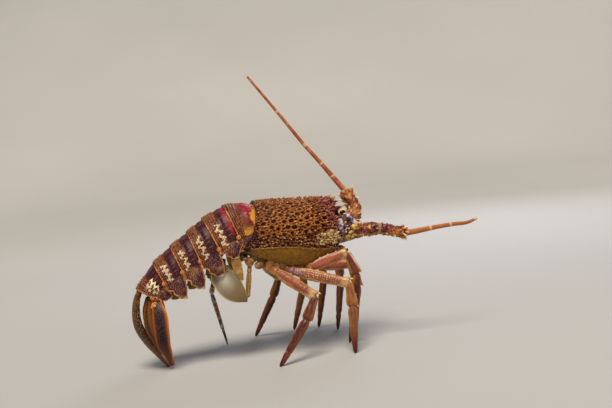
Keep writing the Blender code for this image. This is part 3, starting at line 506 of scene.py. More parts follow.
# The same chitin, drawn out thin: a little more gloss, and on many tips a pale painted highlight.
scale_finish, tree, shader, place, fields = new_finish(
    "scale_chitin", "gold", "head", "cream", "corner", "shade", "tip",
    Roughness=0.4, Specular_IOR_Level=0.18, Coat_Weight=0.06, Coat_Roughness=0.15)
cloud = add_node(tree, "TexNoise", {"Vector": place, "Scale": 1000 / 9.09, "Detail": 2.0})
mixed = add_node(tree, "MixRGB", {"Fac": 0.5, "Color1": fields["shade"], "Color2": cloud})
paint(
    tree, shader, (mixed, {0.25: "#5E2C0E", 0.5: "#8C4E1A", 0.75: "#B06C2A"}),
    ("#BD752A", fields["gold"], 0.5),
    ("#802E34", fields["head"], 0.65),
    ("#FFE2A2", fields["cream"], (fields["shade"], {0.2: 0.35, 0.5: 1.0})),
    # Scales darkened over the lower rear corner, their own colour, and over the low part of the shell as
    # painted shade
    ("#31252A", fields["corner"], 0.5),
    # Pale points on many scales and thorns: painted highlight.
    ("#F2C890", (fields["tip"], {0.45: 0.0, 1.0: 1.0}), (fields["shade"], {0.45: 0.2, 0.8: 0.95})),
)
hand_over(scales, scale_finish, "shell")
hand_over(thorns, scale_finish, "shell")

# Rings of the abdomen.
# Six belts of thin shell, each free of the next, with the smooth front of one sliding under the rear edge of
# the one before. Each is bent down at both sides into a pointed plate with a pale thickened rim.
joints = (
    (-46.3, 143.0, -46.3, 171.4, 30.5),
    (-65.6, 140.0, -77.0, 174.5, 33.0),
    (-89.2, 129.5, -102.0, 162.5, 33.0),
    (-111.4, 118.7, -121.0, 149.5, 31.0),
    (-132.0, 109.0, -141.5, 136.0, 29.0),
    (-153.3, 98.6, -162.5, 120.0, 26.0),
    (-168.0, 84.0, -184.5, 94.0, 21.0),
)  # hinge x and height, x and height of the back, half width
side_plates = ((17, -10.5, 15), (20, 1, 17), (29, 3, 18), (29.5, 1.5, 17), (28, 1, 16), (17, 4, 14))
first_swell = ((-0.25, 1.04, 1.0), (0, 1.05, 1.05), (0.22, 1.05, 1.1), (0.4, 1.03, 1.09), (0.7, 1.02, 1.07),
               (0.94, 1, 1.02), (1, 0.985, 1))
other_swell = (
    (-0.12, 0.935, 0.945), (0, 0.95, 0.96), (0.12, 0.968, 0.975), (0.3, 0.986, 0.992), (0.39, 0.972, 0.98),
    (0.45, 0.98, 0.988), (0.52, 0.995, 1.003), (0.7, 1.0, 1.012), (0.93, 1.0, 1.016), (1, 0.99, 1.0),
)  # share from front to rear, scale of the half width, scale of the height


def way_along(points):
    """How far along their line each of the points lies."""
    return np.concatenate([[0], np.cumsum(np.linalg.norm(np.diff(points, axis=0), axis=1))])


def belt_form(n, t, v):
    """Points of ring n: t 0 to 1 from front to rear, v -1 to 1 over the back and to -2 and 2 at the tips."""
    joint = np.array(joints[n]) + (np.array(joints[n + 1]) - np.array(joints[n])) * t[..., None]
    hinge_x, hinge_z, back_x, back_z, half = np.moveaxis(joint, -1, 0)
    swell = read_rows(first_swell if n == 0 else other_swell, t)
    angle = (1 - np.minimum(np.abs(v), 1)) * np.pi / 2
    rise = np.sin(angle) ** 0.9 * swell[..., 1]
    arch_y = np.cos(angle) ** 0.9 * half * swell[..., 0]
    arch = np.stack([hinge_x + (back_x - hinge_x) * rise, arch_y, hinge_z + (back_z - hinge_z) * rise], -1)
    middle = (np.array(joints[n]) + np.array(joints[n + 1])) / 2
    up = np.array([middle[2] - middle[0], 0, middle[3] - middle[1]])
    rear = np.array([joints[n + 1][0] - joints[n][0], 0, joints[n + 1][1] - joints[n][1]])
    length = np.linalg.norm(rear)
    up, rear = unit(up), rear / length
    reach, lead, width = side_plates[n]
    h = width / 2
    w = np.clip(np.abs(v) - 1, 0, 1)
    broad = length / 2 + 0.6 if 0 < n < 5 else h * 1.08
    rear_edge = read_rows((
        (0, length / 2), (0.12, max(h * 1.12, broad)), (0.3, broad), (0.44, h * 0.94), (0.58, h * 1.0),
        (0.72, h * 0.68 - lead * 0.2), (0.84, h * 0.6 - lead * 0.5), (0.94, h * 0.3 - lead),
        (1, -lead - 0.2)), w)[..., 0]
    front_edge = read_rows((
        (0, -length / 2), (0.12, -max(h * 1.1, broad - 1)), (0.35, -max(h * 1.12, broad - 1.5)),
        (0.7, -h * 0.92 - lead * 0.5), (0.9, -h * 0.45 - lead), (0.97, -lead - 2.6), (1, -lead - 1.6)),
        w)[..., 0]
    if n < 2:
        fill = soft(w, 0.04, 0.14) * soft(w, 0.75, 0.4)
        front_edge, rear_edge = front_edge - (3.5 * fill if n else 0), rear_edge + (0 if n else 5.5 * fill)
    ahead = front_edge + (rear_edge - front_edge) * np.clip(t, 0, 1)
    plate_y = (middle[4] + 0.6 - 0.16 * w * reach + 1.2 * np.sin(np.pi * w) ** 2
               - (1.4 * soft(t, 0.35, 0.05) if n else 0))
    join = soft(w, 0, 0.14)
    plate_y = arch_y * (1 - join) + plate_y * join
    plate = np.array([middle[0], 0, middle[1]]) + rear * ahead[..., None] - up * (w * reach)[..., None]
    plate[..., 1] = plate_y
    points = np.where((np.abs(v) <= 1)[..., None], arch, plate)
    points[..., 1] = np.copysign(points[..., 1], v)
    return points


def drawn_out(tree, share):
    """The piece's own map with its second way shortened to a share, which draws a pattern into streaks."""
    plane = add_node(tree, "UVMap", uv_map="UVMap")
    return add_node(tree, "Mapping", {"Vector": plane, "Scale": (1.0, share, 1.0)})


# Thin lime-hardened chitin: smooth and streaked purple-brown in front, rough and dotted with gold behind.
# It has the low gloss of a nail.
belt_finish, tree, shader, place, fields = new_finish(
    "abdomen_chitin", "band", "crimson", "gilt", "blotch", "line", "plate", "edge", "tipped", "dots",
    Roughness=0.45, Specular_IOR_Level=0.2, Coat_Weight=0.06, Coat_Roughness=0.2)
cloud, fine = (
    add_node(tree, "TexNoise", {"Vector": place, "Scale": 1000 / size, "Detail": 3.0})
    for size in (12.5, 3.03))
streak = add_node(tree, "TexNoise", {"Vector": drawn_out(tree, 0.1), "Scale": 1000 / 1.111, "Detail": 2.0})
fleck = add_node(tree, "TexVoronoi", {"Vector": place, "Scale": 1000 / 1.7, "Randomness": 0.85},
                 out="Distance")
gold = (fine, {0.35: "#9F511D", 0.65: "#E0A050"})
paint(
    tree, shader, (cloud, {0.32: "#40161E", 0.52: "#5A2420", 0.72: "#7E4622"}),
    ((streak, {0.42: "#2E101A", 0.58: "#4A1C26", 0.7: "#946054"}), fields["band"]),
    ((fine, {0.35: "#641420", 0.55: "#902432", 0.7: "#B84A48"}), fields["crimson"]),
    ((streak, {0.35: "#A86A20", 0.55: "#D89A3C", 0.7: "#F0C468"}), fields["gilt"]),
    ((cloud, {0.35: "#3A1838", 0.55: "#5A3040", 0.68: "#A07850"}), fields["plate"]),
    ("#C99858", (fleck, {0.16: 0.8, 0.32: 0.0}), fields["dots"]),
    ((fine, {0.33: "#DCB482", 0.54: "#FFF2D2"}),
     (wavering(tree, fields["blotch"], fine, 0.9, -0.45), {0.45: 0.0, 0.57: 1.0})),
    (gold, fields["edge"]),
    (gold, fields["line"]),
    ("#DDBE8C", fields["tipped"]),
    relief=add_node(tree, "MixRGB", {"Fac": fields["band"], "Color1": fine, "Color2": streak}),
    strength=0.45, depth=0.4,
)

squama_form = ringed_form(
    ((1.0, 0, -0.5, 0.0), (1.02, 0.1, 0.1, 0.9), (0.84, 0.05, 0.3, 0.4), (0.5, 0, 0.36, 0.0),
     (0, 0, 0.3, 0.0)), 10)
squama_gap, ring_wall = 2.9, 0.0009  # millimetres from scale to scale along a row, metres of shell thickness
lump_high, rim_high, furrow_deep, lip_high, lip_furrow, comb_high = 0.18, 0.45, 0.5, 0.5, 0.35, 0.09
squama_list = []
for n in range(6):
    shares = np.concatenate([
        [-0.22, -0.04] if n == 0 else [-0.12, -0.04], np.linspace(0.02, 0.9, 44),
        [0.92, 0.94, 0.955, 0.967, 0.978, 0.988, 0.995, 1.0]])
    low_side = np.linspace(0, 1, 44)
    across = np.concatenate([-2 + low_side ** 0.85, np.linspace(-1, 1, 181)[1:-1],
                             2 - low_side[::-1] ** 0.85])
    t, v = np.meshgrid(shares, across, indexing="ij")
    belt = belt_form(n, t, v)
    w = np.clip(np.abs(v) - 1, 0, 1)
    reach, lead, width = side_plates[n]
    outward = normals_of(belt, belt - [np.mean(belt[..., 0]), 0, 110.0])
    border = np.minimum(np.minimum(t, 1 - t) * width * (1 - 0.6 * w), (1 - w) * reach)
    high = np.abs(v)
    zigzag = np.abs((high * 7.0 + 0.3 * n) % 1 - 0.5)
    second_zigzag = np.abs((high * 6.0) % 1 - 0.5)
    if n == 0:
        crimson = soft(t, 0.68 - 0.5 * high, 0.58 - 0.5 * high) * soft(high, 1.0, 0.75)
    else:
        crimson = soft(t, 0.3, 0.12) * soft(high, 1.0, 0.8) * (n == 1)
    gilt_edge = t + 0.05 * ripple(belt, 5.0) - 0.14 * soft(np.abs(high - 0.62), 0.3, 0.08)
    fields = {
        "band": soft(t, 0.47, 0.42) * soft(w, 0.12, 0.02) * (n > 0),
        "crimson": crimson,
        "gilt": (soft(gilt_edge, -0.02, -0.07) + soft(high, 0.8, 1.0) * soft(t, 0.8, 0.5)) * (n == 0),
        "blotch": soft(np.abs(t - 0.62 - 0.44 * zigzag + 0.1), 0.1, 0.03)
        * soft(np.abs(high - 0.8), 0.3, 0.22) * (n > 0)
        + soft(np.abs(t - 0.34 - 0.3 * second_zigzag), 0.1, 0.03) * soft(np.abs(high - 0.78), 0.3, 0.2)
        * (n == 5),
        "line": soft(t, 0.94, 0.96) * soft(t, 0.995, 0.985) * soft(high, 0.15, 0.5) * soft(w, 0.2, 0.05),
        "plate": soft(w, 0.02, 0.12),
        "edge": soft(border, 1.5, 0.7) * soft(w, 0.06, 0.16),
        "tipped": soft(w, 0.86, 0.98) * 0.8,
        "dots": np.maximum(soft(t, 0.45, 0.52), soft(w, 0.05, 0.12))
        * soft(border + 9 * (w < 0.05), 1.2, 2.4),
    }
    lift = lump_high * ripple(belt, 5.0, n) * soft(t, 0.45, 0.55)
    lift += rim_high * soft(border, 1.8, 0.6) * soft(w, 0.06, 0.2)
    lift -= furrow_deep * soft(np.abs(w - 0.16), 0.07, 0.0)
    lip = lip_high * soft(t, 0.9, 0.95) - lip_furrow * soft(np.abs(t - 0.9), 0.035, 0.0)
    lift += lip * soft(w, 0.1, 0.0) + comb_high * np.sin(v * 240) * fields["band"]
    belt = belt + outward * lift[..., None]
    sheet = lay_skin(f"abdomen_ring_{n + 1}", belt, (0.15, 0.026), fields)
    wall = sheet.modifiers.new("wall", "SOLIDIFY")
    wall.thickness, wall.offset = ring_wall, -1.0
    bpy.ops.object.modifier_apply(modifier="wall")
    hand_over(sheet, belt_finish, "shell", f"abdomen_{n + 1}")
    for k, share in enumerate((0.62, 0.72, 0.82) if n == 0 else (0.53, 0.63, 0.73, 0.83)):
        i = int(np.argmin(np.abs(shares - share)))
        way = way_along(belt[i])
        places = np.arange(1.4 * (k % 2), way[-1], squama_gap)
        places += dice.uniform(-0.25, 0.25, len(places))
        for j in np.searchsorted(way, np.clip(places, 0, way[-1] - 0.01)):
            if w[i, j] > 0.8 or (w[i, j] > 0 and border[i, j] < 2.2):
                continue
            behind = belt[min(i + 2, len(shares) - 1), j] - belt[i, j]
            size = (1.35 * 0.85, 1.45 * 0.8, 1.1 * 0.55) if w[i, j] > 0.03 else (1.35, 1.45, 1.1)
            patch = (0.5 + v[i, j] * 0.24, (n + 0.1 + 0.8 * t[i, j]) / 6)
            squama_list.append((belt[i, j], outward[i, j], behind, size, patch, fields["blotch"][i, j]))
roots, outward, behind, size, patch, blotch = (np.array(column) for column in zip(*squama_list))
marks = {"blotch": blotch, "shade": dice.random(len(roots))}
grow = dice.uniform(0.85, 1.12, len(roots))[:, None]
squamae = scatter("abdomen_squamae", squama_form, roots, outward - 0.55 * unit(behind), behind, size * grow,
                  marks, patch)
# The same thin chitin: each scale is dark at its root and has a pale worn rim.
squama_finish, tree, shader, place, fields = new_finish(
    "squama_chitin", "blotch", "shade", "tip",
    Roughness=0.4, Specular_IOR_Level=0.2, Coat_Weight=0.06, Coat_Roughness=0.2)
cloud = add_node(tree, "TexNoise", {"Vector": place, "Scale": 1000 / 5, "Detail": 2.0})
paint(
    tree, shader, (fields["shade"], {0.0: "#3A1220", 0.5: "#562420", 1.0: "#7E4624"}),
    ((cloud, {0.35: "#A85C28", 0.65: "#EEB86E"}), (fields["tip"], {0.3: 0.0, 0.8: 0.8})),
    ("#FFEFCC", (wavering(tree, fields["blotch"], cloud, 0.5, -0.25), {0.4: 0.0, 0.55: 0.9}),
     (fields["tip"], {0.15: 0.4, 0.5: 1.0})),
)
hand_over(squamae, squama_finish, "shell")

# Knuckles at the sides of the rings.
# Two neighbouring rings turn on a pair of small round pegs in sockets, one at each side. Each is a bead of
# thick orange shell with a ring round it.
sides = ((-1, "right"), (1, "left"))
# Thick chitin polished by turning: glossy and bright orange.
knuckle_finish, tree, shader, place, _ = new_finish(
    "hinge_chitin", Roughness=0.35, Specular_IOR_Level=0.3, Coat_Weight=0.15)
cloud = add_node(tree, "TexNoise", {"Vector": place, "Scale": 1000 / 2, "Detail": 2.0})
paint(tree, shader, (cloud, {0.35: "#B4601E", 0.65: "#EEA04C"}))


def join(pieces, name):
    """Joins pieces into the first of them, with its place in its mesh, under a name."""
    bpy.ops.object.select_all(action="DESELECT")
    for piece in pieces:
        piece.select_set(True)
    bpy.context.view_layer.objects.active = pieces[0]
    bpy.ops.object.join()
    pieces[0].name = pieces[0].data.name = name
    bpy.ops.object.transform_apply(location=True, rotation=True, scale=True)
    bpy.ops.object.shade_smooth()
    return pieces[0]


def pegs_in_rings(name, pegs, turn, ring_detail, peg_detail):
    """Round pegs, each in a raised ring: place, radius and thickness of the ring, and radius of the peg."""
    made = []
    for spot, wide, thick, peg in pegs:
        bpy.ops.mesh.primitive_torus_add(
            location=metres(spot), rotation=(math.pi / 2, 0, turn), major_radius=wide / 1000,
            minor_radius=thick / 1000, major_segments=ring_detail[0], minor_segments=ring_detail[1])
        made.append(bpy.context.object)
        bpy.ops.mesh.primitive_uv_sphere_add(
            location=metres(spot), radius=peg / 1000, segments=peg_detail[0], ring_count=peg_detail[1])
        made.append(bpy.context.object)
    hand_over(join(made, name), knuckle_finish, "shell")


for side, tag in sides:
    pegs = [((x, side * (half + 0.2), z), 1.9, 0.65, 1.3) for x, z, _, _, half in joints[1:]]
    pegs_in_rings(f"ring_knuckles_{tag}", pegs, 0, (20, 8), (14, 8))

# Belly of the abdomen.
# Soft ribbed skin closes each ring below and lets the tail curl. It is thin and pale, with a firmer bar of
# shell across the middle of each ring.
belly_depth = (6.0, 4.5, 13.0, 12.0, 11.0, 10.0, 7.0)
rows = []
for k in np.linspace(0, 6, 181):
    n = min(int(k), 5)
    joint = np.array(joints[n]) + (np.array(joints[n + 1]) - np.array(joints[n])) * (k - n)
    down = unit(np.array([joint[0] - joint[2], 0, joint[1] - joint[3]]))
    bar = 0.9 * math.exp(-(((k % 1) - 0.5) / 0.1) ** 2)
    sag = np.interp(k, range(7), belly_depth) + 0.5 * math.cos(2 * math.pi * k * 3) - bar
    angle = np.linspace(0, 2 * math.pi, 65)
    c, s = np.cos(angle), np.sin(angle)
    y = np.sign(c) * np.abs(c) ** 0.9 * joint[4] * 0.9 * (1 - 0.18 * np.maximum(-s, 0))
    level = np.where(s < 0, sag * np.abs(s) ** 0.6, -3.0 * s)
    rows.append(np.array([joint[0], 0, joint[1]]) + down * level[:, None] + np.stack([0 * y, y, 0 * y], 1))


def close_ends(rows):
    """Rows of points with one more row at each end, drawn in to the middle of the last."""
    ends = [np.repeat(rows[i].mean(0)[None, None], rows.shape[1], 1) for i in (0, -1)]
    return np.concatenate([ends[0], rows, ends[1]])


belly = lay_skin("abdomen_belly", close_ends(np.array(rows)), (0.12, 0.15))
# Soft leathery skin without lime: matt, ochre, clouded, with fine wrinkles.
belly_finish, tree, shader, place, _ = new_finish("belly_membrane", Roughness=0.5, Specular_IOR_Level=0.2)
cloud = add_node(tree, "TexNoise", {"Vector": place, "Scale": 1000 / 8.333, "Detail": 4.0})
paint(tree, shader, (cloud, {0.3: "#4F2E13", 0.55: "#755126", 0.75: "#9A7744"}), relief=cloud)
hand_over(belly, belly_finish, "underside")

# Tail fan.
# Five blades of shell on the last ring: the telson in the middle and two uropods at each side, folded down
# and forward. Only their roots are stiff, and the blades run out into soft ribbed edges.
telson_path = ((-180.5, 0, 93.5, 10.5), (-186, 0, 84, 12.5), (-190, 0, 70, 15), (-190, 0, 50, 16),
               (-181.5, 0, 31, 14.5), (-169.5, 0, 14.5, 10), (-158.5, 0, 0, 4))
inner_path = ((-171.5, 15, 80.5, 4.5), (-173.5, 20.5, 66, 8.5), (-172.8, 21.5, 50, 9.5),
              (-166.8, 18.5, 32, 8.5), (-158.8, 13.5, 15, 6), (-154.5, 7.5, 3, 2.2))
outer_path = ((-163.5, 22, 78.5, 5), (-162.5, 30.5, 64, 8.5), (-162.5, 33, 49, 8.5), (-162, 29, 32.5, 7.5),
              (-158.5, 21.5, 17, 5), (-156, 12.5, 4.5, 1.8))  # x, y, height, half width


def blade_form(path, width_way, thick, arch, rows, columns, ribs, keel=0.5):
    """A thin closed leaf along a smooth line, its width near width_way, and the share along and across it."""
    path = np.array(path, float)
    way = way_along(path[:, :3])
    share = np.linspace(0, 1, rows) ** 0.9
    line = read_rows(np.column_stack([way, path]), share * way[-1])
    centre, half = line[:, :3], line[:, 3:4]
    tangent = unit(np.gradient(centre, axis=0))
    wide = unit(width_way - tangent * (tangent @ width_way)[:, None])
    flat = np.cross(tangent, wide)
    angle = np.linspace(0, 2 * np.pi, columns)
    c, s = np.cos(angle)[None], np.sin(angle)[None]
    bulge = thick / 2 * (1 + keel * (1 - np.abs(c)))
    comb = ribs * np.cos(c * np.pi * 9) * soft(np.abs(c), 1.0, 0.8) * soft(share, 0.02, 0.2)[:, None]
    lift = np.sign(s) * np.abs(s) ** 0.7 * (bulge + comb) + arch * (c * half / path[:, 3].max()) ** 2
    points = centre[:, None] + wide[:, None] * (half * c)[..., None] + flat[:, None] * lift[..., None]
    points = close_ends(points)
    points[..., 2] = np.maximum(points[..., 2], 0)
    share = np.concatenate([[0], share, [1]])
    return points, {"length": share[:, None], "cross": c}


for kind, path, width_way, fleck_size, fleck_share, edge_stops in (
    ("telson", telson_path, (0, 1.0, 0), 2.3, 0.9,
     {0.0: "#2A1002", 0.28: "#54300A", 0.5: "#7E4E16", 0.76: "#241002", 0.9: "#1E0C04", 1.0: "#6A3C12"}),
    ("inner", inner_path, (0.78, 0.63, 0), 1.4, 0.35,
     {0.0: "#A05818", 0.12: "#6A3810", 0.35: "#2E1606", 0.55: "#7C4A18", 0.78: "#44220A", 1.0: "#C47426"}),
    ("outer", outer_path, (0.98, 0.2, 0), 1.4, 0.35,
     {0.0: "#B05E1C", 0.12: "#5A2810", 0.3: "#241024", 0.55: "#180A18", 0.74: "#301426", 0.86: "#8A4012",
      1.0: "#D8822C"}),
):  # the way that the width lies, size of the flecks and how much they show, colours from edge to edge
    # Springy half-hardened chitin, ribbed lengthwise: streaks, soft gloss, and edges bright where light
    # comes through.
    finish, tree, shader, place, fields = new_finish(
        f"{kind}_blade_chitin", "length", "cross",
        Roughness=0.45, Specular_IOR_Level=0.2, Coat_Weight=0.08, Coat_Roughness=0.2)
    streak = add_node(tree, "TexNoise", {"Vector": drawn_out(tree, 0.08), "Scale": 1000 / 0.909,
                                         "Detail": 2.0})
    cells = {"Vector": place, "Scale": 1000 / fleck_size, "Randomness": 0.8}
    fleck = add_node(tree, "TexVoronoi", cells, out="Distance")
    shift = add_node(tree, "Math", {0: fields["cross"], 1: 0.5, 2: 0.42}, operation="MULTIPLY_ADD")
    shift = add_node(tree, "Math", {0: streak, 1: 0.16, 2: shift}, operation="MULTIPLY_ADD")
    paint(
        tree, shader, (shift, edge_stops),
        ("#C4924C", (fleck, {0.2: fleck_share, 0.36: 0.0}), (fields["length"], {0.05: 1.0, 0.8: 0.3})),
        ("#99541D", (fields["length"], {0.55: 0.0, 1.0: 0.55})),
        relief=streak, strength=0.5, depth=0.4,
    )
    if kind == "telson":
        points, fields = blade_form(path, np.array(width_way), 2.6, 7.5, 120, 97, 0.12)
        hand_over(lay_skin("telson_blade", points, (0.06, 0.11), fields), finish, "shell", "telson")
        continue
    for side, tag in sides:
        placed = [(x, side * y, z, half) for x, y, z, half in path]
        points, fields = blade_form(placed, np.array(width_way) * [1, side, 1], 2.2, 0.0, 110, 81, 0.13)
        blade = lay_skin(f"{kind}_blade_{tag}", points, (0.036, 0.085), fields)
        hand_over(blade, finish, "shell", f"uropod_{kind}_{tag}")

# Root knobs of the tail fan.
# Each pair of side blades hangs from one short block under the last ring, which shows from the side as a
# bright orange boss with a raised ring round it.
for side, tag in sides:
    pegs = [((-166.0, side * 22.5, 74.5), 3.6, 1.3, 3.0), ((-162.5, side * 25.5, 70.5), 2.0, 0.8, 1.6)]
    pegs_in_rings(f"tail_root_boss_{tag}", pegs, side * 0.2, (28, 10), (20, 12))

# Breastplate.
# The plate between the legs is thick ochre shell in five joined segments, each with a socket for its pair of
# legs.
breast_rows = ((-71, 16, 12, 7), (-60, 21, 15, 10), (-46, 20, 15, 12), (-34, 20, 14, 15), (-20, 18, 13, 14),
               (20, 13, 8, 13), (34, 9, 6, 10))  # x, half width above and below, depth
x = np.linspace(-71, 34, 130)
half, low_half, deep = read_rows(breast_rows, x).T
roof = np.minimum(read_rows(belly_line, x)[:, 0] - 0.3, 130.0 - np.maximum(0, -60 - x) * 0.3)
notch = 0.8 * sum(np.exp(-(((x - place) / 1.1) ** 2)) for place in (-46, -28, -10, 7))
flank, flank_z = (half + low_half) / 2 + 0.6, roof - deep * 0.62
outline = [(-half, roof), (half, roof), (half + 0.2, roof - 3), (flank, flank_z),
           (low_half, roof - deep + notch), (0 * half, roof - deep + 1.2 + notch),
           (-low_half, roof - deep + notch), (-flank, flank_z), (-half - 0.2, roof - 3), (-half, roof)]
outline = np.array([np.stack([x, y, z], 1) for y, z in outline]).transpose(1, 0, 2)
steps = np.linspace(0, 9, 91)
corner = np.minimum(steps.astype(int), 8)
to_next = outline[:, corner + 1] - outline[:, corner]
plate_rows = outline[:, corner] + to_next * (steps - corner)[None, :, None]
plate_rows += 0.3 * ripple(plate_rows, 6.0)[..., None] * [0, 0, 1]
breast = lay_skin("breastplate", close_ends(plate_rows), (0.08, 0.105))
# Chitin thick with lime: pale clouded ochre, rough and dull.
breast_finish, tree, shader, place, _ = new_finish(
    "breastplate_chitin", Roughness=0.45, Specular_IOR_Level=0.2)
cloud = add_node(tree, "TexNoise", {"Vector": place, "Scale": 1000 / 8.333, "Detail": 4.0})
paint(tree, shader, (cloud, {0.3: "#593413", 0.5: "#88612C", 0.72: "#AD8C52"}),
      relief=cloud, strength=0.5, depth=0.6)
hand_over(breast, breast_finish, "underside", "sternum")

# Walking legs.
# Each leg is a chain of hard tubes joined by soft hinges: two short ones at the body, a long flattened
# thigh, a short knee piece, a shin, and a pointed claw with a horn tip.
right_legs = {
    5: ((-55, -20, 112), (-56.5, -26, 105), (-58, -28, 99), (-62.5, -25, 71), (-74, -14, 72), (-92, -2, 86),
        0.62),
    4: ((-37, -20, 105), (-33, -31, 99.5), (-28, -37, 96), (7.5, -62, 67), (-6, -70, 44), (-43, -83, 0), 1.0),
    3: ((-19, -19, 100), (-15, -30, 95.5), (-9, -36, 94), (48, -58, 75.5), (47.5, -66, 51), (43, -75, 0),
        1.0),
    2: ((-1, -17, 98), (5, -28, 95), (13, -35.2, 96), (52, -45, 108), (60, -50, 84), (48, -47, 0), 0.95),
    1: ((16, -13, 99), (20, -20, 95), (25, -23.5, 94), (59, -27, 92), (64, -30, 66), (49, -21, 0), 0.95),
}
left_legs = {
    5: ((-55, 20, 112), (-60, 28, 106), (-64, 32, 102), (-92, 44, 88), (-97, 52, 68), (-84, 66, 0), 0.62),
    4: ((-37, 20, 105), (-35, 31, 99.5), (-32, 37, 96), (-12, 66, 74), (-20, 76, 50), (-46, 92, 0), 1.0),
    3: ((-19, 19, 100), (-16, 30, 95.5), (-12, 36, 94), (20, 72, 79), (19, 82, 54), (4, 98, 0), 1.0),
    2: ((-1, 17, 98), (2, 27, 94), (7, 34, 93.5), (42, 62, 87), (44, 72, 62), (34, 88, 0), 0.95),
    1: ((16, 13, 99), (20, 20, 95), (25, 23.5, 94), (56, 44, 93), (62, 51, 68), (52, 58, 0), 0.95),
}  # root on the breastplate, end of the coxa, end of the ischium, knee, end of the carpus, foot; girth


def tube_form(stations, up, rows, columns, caps=(0.5, 0.5), power=1.0):
    """A closed tube along smooth stations of (point, wide, thick), wide near up. The caps are the length of
    its round ends as shares of the end's radius. Gives its points, the share along and how high each is."""
    stations = np.array([[*p, wide, thick] for p, wide, thick in stations], float)
    way = way_along(stations[:, :3])
    line = read_rows(np.column_stack([way, stations]), np.linspace(0, way[-1], rows))
    centre, wide, thick = line[:, :3], line[:, 3], line[:, 4]
    tangent = unit(np.gradient(centre, axis=0))
    dome, fall = (turned(np.linspace(0, 1, 6) * np.pi / 2)[:-1] for turned in (np.sin, np.cos))
    heads = [centre[0] - tangent[0] * wide[0] * caps[0] * f for f in fall]
    tails = [centre[-1] + tangent[-1] * wide[-1] * caps[1] * f for f in fall[::-1]]
    centre = np.concatenate([heads, centre, tails])
    tangent = np.concatenate([np.repeat(tangent[:1], 5, 0), tangent, np.repeat(tangent[-1:], 5, 0)])
    wide, thick = (np.concatenate([size[0] * dome, size, size[-1] * dome[::-1]]) for size in (wide, thick))
    tall = unit(up - tangent * (tangent @ np.asarray(up, float))[:, None])
    side = np.cross(tangent, tall)
    angle = np.linspace(0, 2 * np.pi, columns)
    a, b = (np.sign(wave) * np.abs(wave) ** power for wave in (np.cos(angle), np.sin(angle)))
    points = (centre[:, None] + tall[:, None] * (wide[:, None] * a)[..., None]
              + side[:, None] * (thick[:, None] * b)[..., None])
    span = centre[-1] - centre[0]
    share = np.clip(((centre - centre[0]) @ span)[:, None] / (span ** 2).sum(), 0, 1)
    return points, {"length": share, "upper": np.cos(angle)[None]}


def lumpy(points, share, height, size, seed):
    """A tube's points with low lumps that fade out at both ends, and the way that each point faces."""
    outward = normals_of(points, points - points.mean(1, keepdims=True))
    lift = height * ripple(points, size, seed) * soft(share, 0, 0.1) * soft(share, 1, 0.9)
    return points + outward * lift[..., None], outward


def stations_of(start, end, table, girth=1.0):
    """Stations of a tube between two points from rows of share of the way, half width and half thickness."""
    return [(start + (end - start) * share, wide * girth, thick * girth) for share, wide, thick in table]


# Hard smooth chitin with a waxy gloss: rose-brown tubes with pale golden edges, streaked lengthwise. The
# colours of the tubes and of their edges run over six pieces, from the body to the claw's tip.
leg_finish, tree, shader, place, fields = new_finish(
    "leg_chitin", "length", "upper", "piece", "leg",
    Roughness=0.4, Specular_IOR_Level=0.25, Coat_Weight=0.08, Coat_Roughness=0.15)
cloud, fine = (
    add_node(tree, "TexNoise", {"Vector": place, "Scale": 1000 / size, "Detail": 3.0})
    for size in (10.0, 2.632))
reach = add_node(tree, "Math", {0: fields["piece"], 1: fields["length"]}, operation="ADD")
reach = add_node(tree, "Math", {0: reach, 1: 6.0}, operation="DIVIDE")
rim = add_node(tree, "Math", {0: fields["upper"]}, operation="ABSOLUTE")
second, third, fourth, fifth, far_fifth = (
    add_node(tree, "Math", {0: fields["leg"], 1: at, 2: 0.05}, operation=test)
    for at, test in ((0.5, "LESS_THAN"), (0.6, "COMPARE"), (0.8, "COMPARE"), (0.9, "GREATER_THAN"),
                     (1.05, "GREATER_THAN"))
)
row_cells = {"Vector": drawn_out(tree, 0.25), "Scale": 1000 / 2.2, "Randomness": 0.3}
row_dot = add_node(tree, "TexVoronoi", row_cells, out="Distance")
fleck = add_node(tree, "TexVoronoi", {"Vector": place, "Scale": 1000 / 2.6, "Randomness": 0.8},
                 out="Distance")
streak = add_node(tree, "TexNoise", {"Vector": drawn_out(tree, 0.02), "Scale": 1000 / 2.381, "Detail": 2.0})
thigh = (reach, {0.32: 0.0, 0.345: 1.0, 0.465: 1.0, 0.48: 0.0})
shin = (reach, {0.5: 0.0, 0.52: 0.45, 0.8: 0.35, 0.86: 0.0})
